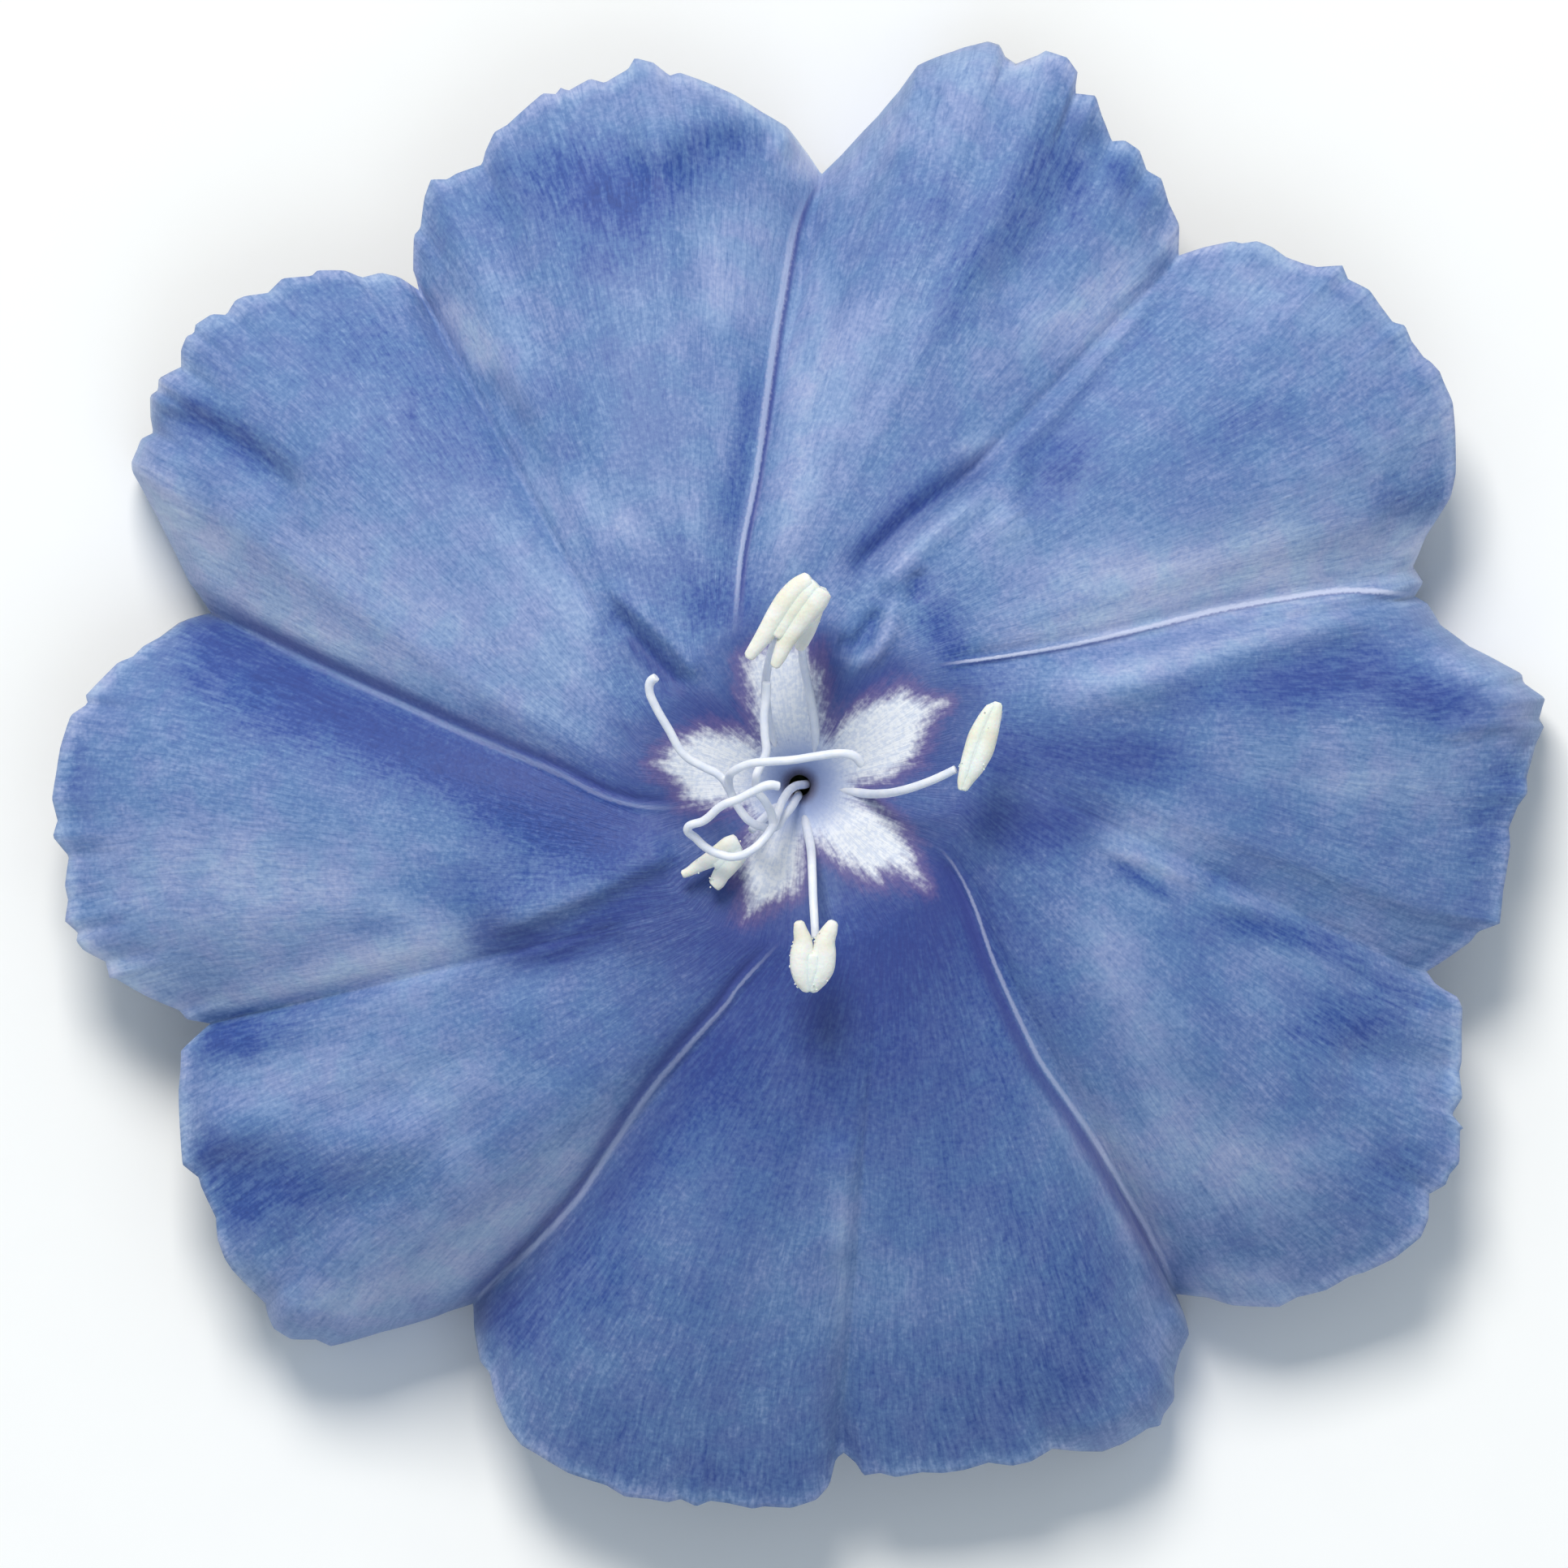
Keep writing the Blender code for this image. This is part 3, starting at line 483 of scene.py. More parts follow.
# %% Folds of the limb
FOLDS = (
    # height, width left and right of the route, and the route
    (0.36, 0.55, 0.4, ((765, 208), (850, 155), (912, 138), (960, 150), (992, 190))),
    (-0.2, 0.3, 0.3, ((518, 352), (545, 400), (575, 440), (610, 490), (660, 545))),
    (-0.3, 0.26, 0.4, ((180, 512), (235, 522), (290, 548), (335, 580), (375, 622))),
    (-0.12, 0.5, 0.6, ((640, 520), (700, 600))),
    (0.15, 0.22, 0.12, ((748, 722), (775, 745), (801, 768), (835, 800), (868, 842))),
    (-0.14, 0.12, 0.2, ((752, 752), (785, 790), (815, 822), (848, 850))),
    (-0.18, 0.18, 0.28, ((1045, 712), (1078, 682), (1118, 645), (1160, 610), (1205, 580), (1240, 545))),
    (0.14, 0.22, 0.3, ((1072, 728), (1105, 698), (1150, 652), (1200, 612), (1245, 585))),
    (0.1, 0.14, 0.28, ((1440, 330), (1405, 385), (1360, 430), (1300, 500), (1250, 555), (1215, 600))),
    (-0.08, 0.25, 0.14, ((1458, 330), (1425, 385), (1385, 435), (1322, 515), (1270, 575))),
    (-0.15, 0.13, 0.13, ((1082, 750), (1068, 780), (1050, 800), (1028, 795))),
    (0.12, 0.14, 0.14, ((1100, 735), (1097, 775), (1077, 812), (1045, 824), (1018, 806))),
    (-0.12, 0.12, 0.12, ((1131, 705), (1129, 745))),
    (-0.07, 0.1, 0.1, ((1158, 107), (1135, 135), (1109, 165))),
    (-0.24, 0.5, 0.5, ((1345, 140), (1320, 230), (1262, 330), (1205, 395))),
    (-0.08, 0.35, 0.35, ((1700, 640), (1745, 648), (1800, 650))),
    (-0.14, 0.3, 0.35, ((1255, 595), (1330, 608))),
    (0.1, 0.3, 0.3, ((1215, 650), (1260, 640))),
    (0.34, 0.5, 0.42, ((1290, 855), (1411, 832), (1544, 793), (1610, 775), (1678, 762), (1768, 795),
                       (1857, 845), (1900, 862))),
    (0.12, 0.2, 0.14, ((1770, 905), (1830, 893), (1895, 884))),
    (0.07, 0.2, 0.12, ((1345, 1042), (1411, 1060), (1490, 1092))),
    (0.08, 0.3, 0.16, ((1470, 1105), (1553, 1118), (1640, 1142), (1700, 1175), (1745, 1200))),
    (-0.08, 0.16, 0.25, ((1660, 1192), (1710, 1214), (1765, 1240))),
    (-0.15, 0.4, 0.4, ((1640, 1300), (1720, 1312), (1800, 1330))),
    (0.22, 0.4, 0.2, ((600, 1150), (667, 1122), (734, 1095), (787, 1068), (840, 1045))),
    (-0.12, 0.2, 0.5, ((600, 1195), (690, 1185), (780, 1145))),
    (0.06, 0.4, 0.2, ((262, 1250), (335, 1230), (424, 1199), (491, 1176), (571, 1150))),
    (0.2, 0.5, 0.5, ((225, 1370), (300, 1395), (420, 1408), (560, 1405))),
    (0.1, 0.35, 0.35, ((1029, 1400), (1037, 1480), (1033, 1560))),
)
FOLD_END = 0.15


def fold_height(x, y):
    total = np.zeros_like(x)
    for height, left, right, pixels in FOLDS:
        distance, side, along = along_route(x, y, pixels)
        ends = ease(0.0, FOLD_END, np.minimum(along, 1.0 - along))
        total += height * bell(distance, np.where(side > 0, left, right)) * ends
    return total


print("creases:", len(CREASES), "folds:", len(FOLDS))

# %% [markdown]
# ## The form of the limb
#
# From the crest round the throat the limb hangs down to the rim, a little more beside the creases.
# In the bud the petals were twisted round each other, so near the throat everything sweeps round by
# up to 40 degrees. These rules follow the ones that the frame's solid was made with, so that the
# finer sheet lies in the same place. The real petal is thin: the sheet keeps the solid's upper face
# near the throat and comes down to its lower face near the rim. Beside each crease the margin curls
# under until it touches the table: a strip along the rim is bent through up to 150 degrees, and the
# bend fades out along the lobe. The bloom rests on these five curls.

# %% Rules of the limb and the throat
CREST_RADIUS = 2.6
CREST_HEIGHT = 5.5
SOLID_HALF = 0.33
RIM_DROOP = 3.35
CREASE_DROOPS = (0.4, 0.5, 0.25, 0.45, 0.4)
CREASE_DROOP_WIDTH = 0.4
FOLDS_START = (1.9, 2.5)
THROAT_FOLDS_START = (1.7, 2.5)
DROOP_POWER = 2.2
EVEN_DROOP_SHARE = 0.25
LOBE_SWELL = 0.16
SWELL_STARTS = (0.15, 0.7)
CURL_WIDTH = 0.5
CURL_TURN = math.radians(150.0)
CURL_STARTS = (-0.16, 0.08)
CURL_ENDS = (0.6, 0.14)
SMALLEST_CURL = 1e-6
TWIST_DEG_MM = 89.7
TWIST_ENDS_AT = 10.14
PETAL_THICK = (0.24, 0.12)
THINNER_FROM = (0.7, 1.0)
SINKS_FROM = (0.05, 0.8)
LOWER_THICKER = 0.12
RIPPLE = 0.05
RIPPLES_ROUND = 5.0
RIPPLES_OUTWARDS = 0.35
RIPPLES_START = (2.6, 5.0)

INSIDE = ((0.62, 2.35), (0.64, 2.9), (0.43, 3.4), (0.22, 3.8), (0.17, 4.1), (0.2, 4.4), (0.36, 4.75),
          (0.62, 5.08), (1.0, 5.38), (1.5, 5.62), (2.05, 5.78), (2.6, 5.83))
OUTSIDE = ((0.98, 2.35), (1.0, 2.9), (0.86, 3.5), (0.8, 4.0), (0.95, 4.45), (1.3, 4.85), (1.85, 5.25),
           (2.6, 5.59))


def on_profile(profile, share):
    """Radius and height at a share of a profile's length."""
    radius, height = np.array(profile).T
    length = np.r_[0.0, np.cumsum(np.hypot(np.diff(radius), np.diff(height)))]
    at = share * length[-1]
    return smooth_through(length, radius, at), smooth_through(length, height, at)


def ripples(degrees, radius):
    """Slight uneven waves that run outwards, as one would get by rubbing with a smooth brush."""
    turn = np.radians(degrees)
    places = np.c_[RIPPLES_ROUND * np.cos(turn), RIPPLES_ROUND * np.sin(turn), RIPPLES_OUTWARDS * radius]
    return np.array([noise.noise(Vector(place)) for place in places])


def sheet(u, share, fine):
    """Radius and turn of the petal's upper face, its height and thickness, before any margin curls."""
    degrees, rim = rim_at(u)
    rim = rim + (toothed_rim(u, degrees) - rim) * ease(TOOTH_START, 1.0, share)
    radius = CREST_RADIUS + (rim - CREST_RADIUS) * share
    turn = np.radians(degrees + TWIST_DEG_MM * np.maximum(1 / radius - 1 / TWIST_ENDS_AT, 0.0))
    x, y = radius * np.cos(turn), radius * np.sin(turn)
    aside = (u + 1.0) % 2.0 - 1.0
    petal = (((u + 1.0) % len(LOBES)) // 2).astype(int)
    droop = RIM_DROOP + np.array(CREASE_DROOPS)[petal] * bell(aside, CREASE_DROOP_WIDTH)
    z = CREST_HEIGHT - droop * (EVEN_DROOP_SHARE * share + (1 - EVEN_DROOP_SHARE) * share**DROOP_POWER)
    z += LOBE_SWELL * np.sin(math.pi * (u % 1.0)) ** 2 * ease(*SWELL_STARTS, share)
    z += crease_height(x, y, fine) + fold_height(x, y) * ease(*FOLDS_START, radius)
    if fine:
        z += RIPPLE * ripples(degrees, radius) * ease(*RIPPLES_START, radius)
    thick = PETAL_THICK[0] + (PETAL_THICK[1] - PETAL_THICK[0]) * ease(*THINNER_FROM, share)
    under = np.maximum(z - SOLID_HALF, 0.0) + thick
    upper = z + SOLID_HALF + (under - z - SOLID_HALF) * ease(*SINKS_FROM, share)
    return radius, rim, turn, upper, thick


def limb(u, share, above):
    """Places of the petal's upper face, or of its lower face, with the curled margins."""
    _, rim = rim_at(u)
    aside = (u + 1.0) % 2.0 - 1.0
    curled = CURL_TURN * np.maximum(ease(*CURL_STARTS, aside) * ease(*CURL_ENDS, aside), SMALLEST_CURL)
    reach = np.clip(1.0 - (1.0 - share) * (rim - CREST_RADIUS) / CURL_WIDTH, 0.0, 1.0)
    bend = curled * reach
    widest = np.sin(np.minimum(curled, math.pi / 2))
    flat = share + CURL_WIDTH * (np.sin(bend) / widest - reach) / (rim - CREST_RADIUS)
    _, rim, turn, z, thick = sheet(u, np.where(bend > math.pi / 2, 1.0, flat), above)
    radius = CREST_RADIUS + (rim - CREST_RADIUS) * flat
    at_rim = bend > 1e-4
    fall = np.zeros_like(u)
    fall[at_rim] = sheet(u[at_rim], np.ones(at_rim.sum()), above)[3] / (1.0 - math.cos(CURL_TURN))
    z -= fall * (1.0 - np.cos(bend))
    if not above:
        outwards, upwards = fall * np.sin(bend), CURL_WIDTH / widest * np.cos(bend)
        length = np.hypot(outwards, upwards)
        thick = thick * (1.0 + LOWER_THICKER * share)
        radius -= thick * outwards / length
        z -= thick * upwards / length
    return radius * np.cos(turn), radius * np.sin(turn), np.maximum(z, 0.0)


print("throat's narrowest:", min(r for r, _ in INSIDE), "mm")

# %% [markdown]
# ## A ruled disc, shaped like cloth over a form
#
# The upper face starts as a flat ruled disc: a circle primitive, extruded ring by ring in edit mode,
# and subdivided where rings grow longer, so that the rim has points enough for its teeth. Ring and
# angle then say where on the flower each point belongs. The lower face is made the same way with
# fewer rings. The two are joined and bridged at the rim and at the tube's foot.

# %% Ruled discs
UPPER_ZONES = ((16, 360), (22, 720), (50, 720), (12, 1440))
UPPER_THROAT_RINGS = 38
UPPER_SHARES = ((0, 0.0), (20, 0.25), (50, 0.9), (62, 1.0))
LOWER_ZONES = ((8, 360), (8, 360), (19, 720), (1, 1440))
LOWER_THROAT_RINGS = 8
LOWER_SHARES = ((0, 0.0), (8, 0.3), (17, 0.9), (28, 1.0))
THROAT_RING_POWER = 0.78
LOBE_DEGREES = 36.0


def ruled_disc(name, zones):
    """A flat disc whose ring n has radius n, with as many points round as its zone says."""
    bpy.ops.object.select_all(action="DESELECT")
    bpy.ops.mesh.primitive_circle_add(vertices=zones[0][1], radius=1.0)
    disc = bpy.context.object
    disc.name = name
    bpy.ops.object.mode_set(mode="EDIT")
    bpy.ops.mesh.select_mode(type="EDGE")
    bpy.ops.mesh.select_all(action="SELECT")
    radius, count = 1, zones[0][1]
    for rings, around in zones:
        if around > count:
            bpy.ops.mesh.subdivide(number_cuts=1)
            count = around
        for _ in range(rings):
            bpy.ops.mesh.extrude_edges_move()
            grow = (radius + 1) / radius
            bpy.ops.transform.resize(value=(grow, grow, 1.0), center_override=(0.0, 0.0, 0.0))
            radius += 1
    bpy.ops.object.mode_set(mode="OBJECT")
    return disc


def points_of(obj):
    flat = np.empty(len(obj.data.vertices) * 3, np.float32)
    obj.data.vertices.foreach_get("co", flat)
    return flat.reshape(-1, 3).astype(float)


def place_points(obj, points):
    obj.data.vertices.foreach_set("co", np.asarray(points, np.float32).ravel())
    obj.data.update()


def shape_disc(disc, upper, throat_rings, shares):
    """Moves every point of the disc to its place on the bloom, and keeps what the finish needs."""
    flat = points_of(disc)
    ring = np.round(np.hypot(flat[:, 0], flat[:, 1])) - 1
    u = ((90.0 - np.degrees(np.arctan2(flat[:, 1], flat[:, 0]))) / LOBE_DEGREES) % len(LOBES)
    u = np.where(np.abs(u - np.round(u)) < 1e-5, np.round(u), u) % len(LOBES)
    degrees, _ = rim_at(u)
    turn = np.radians(degrees + TWIST_DEG_MM * (1 / CREST_RADIUS - 1 / TWIST_ENDS_AT))
    share = np.clip(ring / throat_rings, 0.0, 1.0) ** THROAT_RING_POWER
    radius, z = on_profile(INSIDE if upper else OUTSIDE, share)
    x, y = radius * np.cos(turn), radius * np.sin(turn)
    z = z + (crease_height(x, y, upper) + fold_height(x, y)) * ease(*THROAT_FOLDS_START, radius)
    limb_share = np.interp(ring - throat_rings, *np.array(shares).T)
    out = ring > throat_rings
    limb_x, limb_y, limb_z = limb(u, limb_share, upper)
    x, y, z = np.where(out, limb_x, x), np.where(out, limb_y, y), np.where(out, limb_z, z)
    place_points(disc, np.c_[x, y, z])
    return u, degrees, np.where(out, limb_share, 0.0)


upper_face = ruled_disc("petals", UPPER_ZONES)
lower_face = ruled_disc("petals_under", LOWER_ZONES)
upper_parts = shape_disc(upper_face, True, UPPER_THROAT_RINGS, UPPER_SHARES)
lower_parts = shape_disc(lower_face, False, LOWER_THROAT_RINGS, LOWER_SHARES)
print("points above and below:", len(upper_face.data.vertices), len(lower_face.data.vertices))

# %% [markdown]
# ## What the finish needs to know
#
# Colour on this flower follows its anatomy and not a flat projection: streaks run along the veins,
# the margin pales, partly as a painted sheen, the creases carry a pale rib that is partly a painted
# highlight and a painted shade line, and a white star with ragged tips marks the throat. So each point
# keeps a few attributes, and the nodes read them: the turn round the bloom before the twist, how
# violet and how pale or deep its place is, and the distance to the rim, to the nearest crease and to
# the star's edge. The violet and the pale and deep places are broad soft strokes, laid on and
# corrected against the photograph, and the nodes break them up afterwards; besides the petal's own
# colour they paint the shade and light of folds, valleys and slopes. Where a margin is folded under,
# its edge isn't seen, so it counts as far from the rim and stays unpaled.

# %% Star of the throat
STAR_ARMS = (
    ((958, 930), (930, 905), (924, 880), (916, 845), (914, 815), (930, 800), (968, 790), (1000, 795),
     (1012, 830), (1016, 860), (1021, 892), (1010, 930)),
    ((1005, 930), (1029, 891), (1069, 862), (1110, 846), (1136, 858), (1168, 864), (1141, 901),
     (1130, 937), (1100, 961), (1069, 968), (1030, 975)),
    ((1030, 965), (1080, 988), (1106, 1013), (1126, 1049), (1141, 1095), (1120, 1086), (1092, 1074),
     (1080, 1090), (1049, 1074), (1023, 1059), (1003, 1040), (990, 1000)),
    ((1000, 1000), (995, 1044), (993, 1074), (983, 1100), (957, 1110), (934, 1126), (915, 1133),
     (919, 1105), (906, 1074), (911, 1049), (925, 1020), (950, 995)),
    ((950, 1000), (906, 994), (875, 998), (842, 988), (828, 965), (804, 942), (826, 913), (865, 896),
     (906, 899), (930, 910), (955, 935)),
)
STAR_HEART = 0.95


def inside_outline(x, y, pixels):
    """Millimetres inside a closed outline, below 0 outside it."""
    points = [plan(pixel) for pixel in pixels]
    nearest, inside = np.full_like(x, 1e9), np.zeros(len(x), bool)
    for (x0, y0), (x1, y1) in zip(points, points[1:] + points[:1]):
        dx, dy = x1 - x0, y1 - y0
        s = np.clip(((x - x0) * dx + (y - y0) * dy) / (dx * dx + dy * dy), 0.0, 1.0)
        nearest = np.minimum(nearest, np.hypot(x - x0 - s * dx, y - y0 - s * dy))
        crosses = ((y0 > y) != (y1 > y)) & (x < dx * (y - y0) / (dy if dy else 1e-9) + x0)
        inside ^= crosses
    return np.where(inside, nearest, -nearest)


def star_depth(x, y):
    depth = STAR_HEART - np.hypot(x, y)
    for arm in STAR_ARMS:
        depth = np.maximum(depth, inside_outline(x, y, arm))
    return depth


# %% Violet zones, partly painted shade
VIOLET_AND_SHADE_ZONES = (
    # strength, width and route of each bluish violet zone, partly the petal's pigment and partly painted
    # shade of valleys and of the funnel
    (0.5, 0.4, ((880, 1010), (760, 1005), (640, 962), (520, 910), (400, 860), (275, 775))),
    (0.6, 0.3, ((870, 965), (780, 955), (690, 925), (600, 880))),
    (0.8, 0.6, ((1170, 1010), (1240, 1000), (1330, 1005))),
    (0.6, 0.5, ((1150, 925), (1260, 925), (1400, 930))),
    (1.0, 1.1, ((830, 1120), (900, 1170), (1000, 1220), (1120, 1190), (1170, 1130))),
    (0.5, 1.3, ((840, 1250), (960, 1330), (1120, 1320))),
    (0.9, 0.5, ((610, 1160), (700, 1163), (790, 1130), (840, 1090))),
    (0.7, 0.4, ((930, 1230), (850, 1320), (740, 1470), (600, 1620))),
    (0.6, 0.3, ((1050, 690), (1110, 640), (1190, 580))),
    (0.9, 0.3, ((1010, 800), (1030, 850), (1060, 850), (1100, 825))),
    (0.9, 0.3, ((790, 800), (850, 860), (900, 885))),
    (0.6, 0.3, ((770, 900), (840, 885), (900, 880))),
    (0.4, 0.4, ((1560, 850), (1660, 835), (1740, 860), (1850, 885))),
    (0.5, 0.25, ((1340, 1400), (1400, 1500), (1440, 1600))),
)


def violet_and_shade_zone(x, y):
    left_out = np.ones_like(x)
    for strength, width, pixels in VIOLET_AND_SHADE_ZONES:
        distance, _, _ = along_route(x, y, pixels)
        left_out *= 1.0 - strength * bell(distance, width)
    return 1.0 - left_out


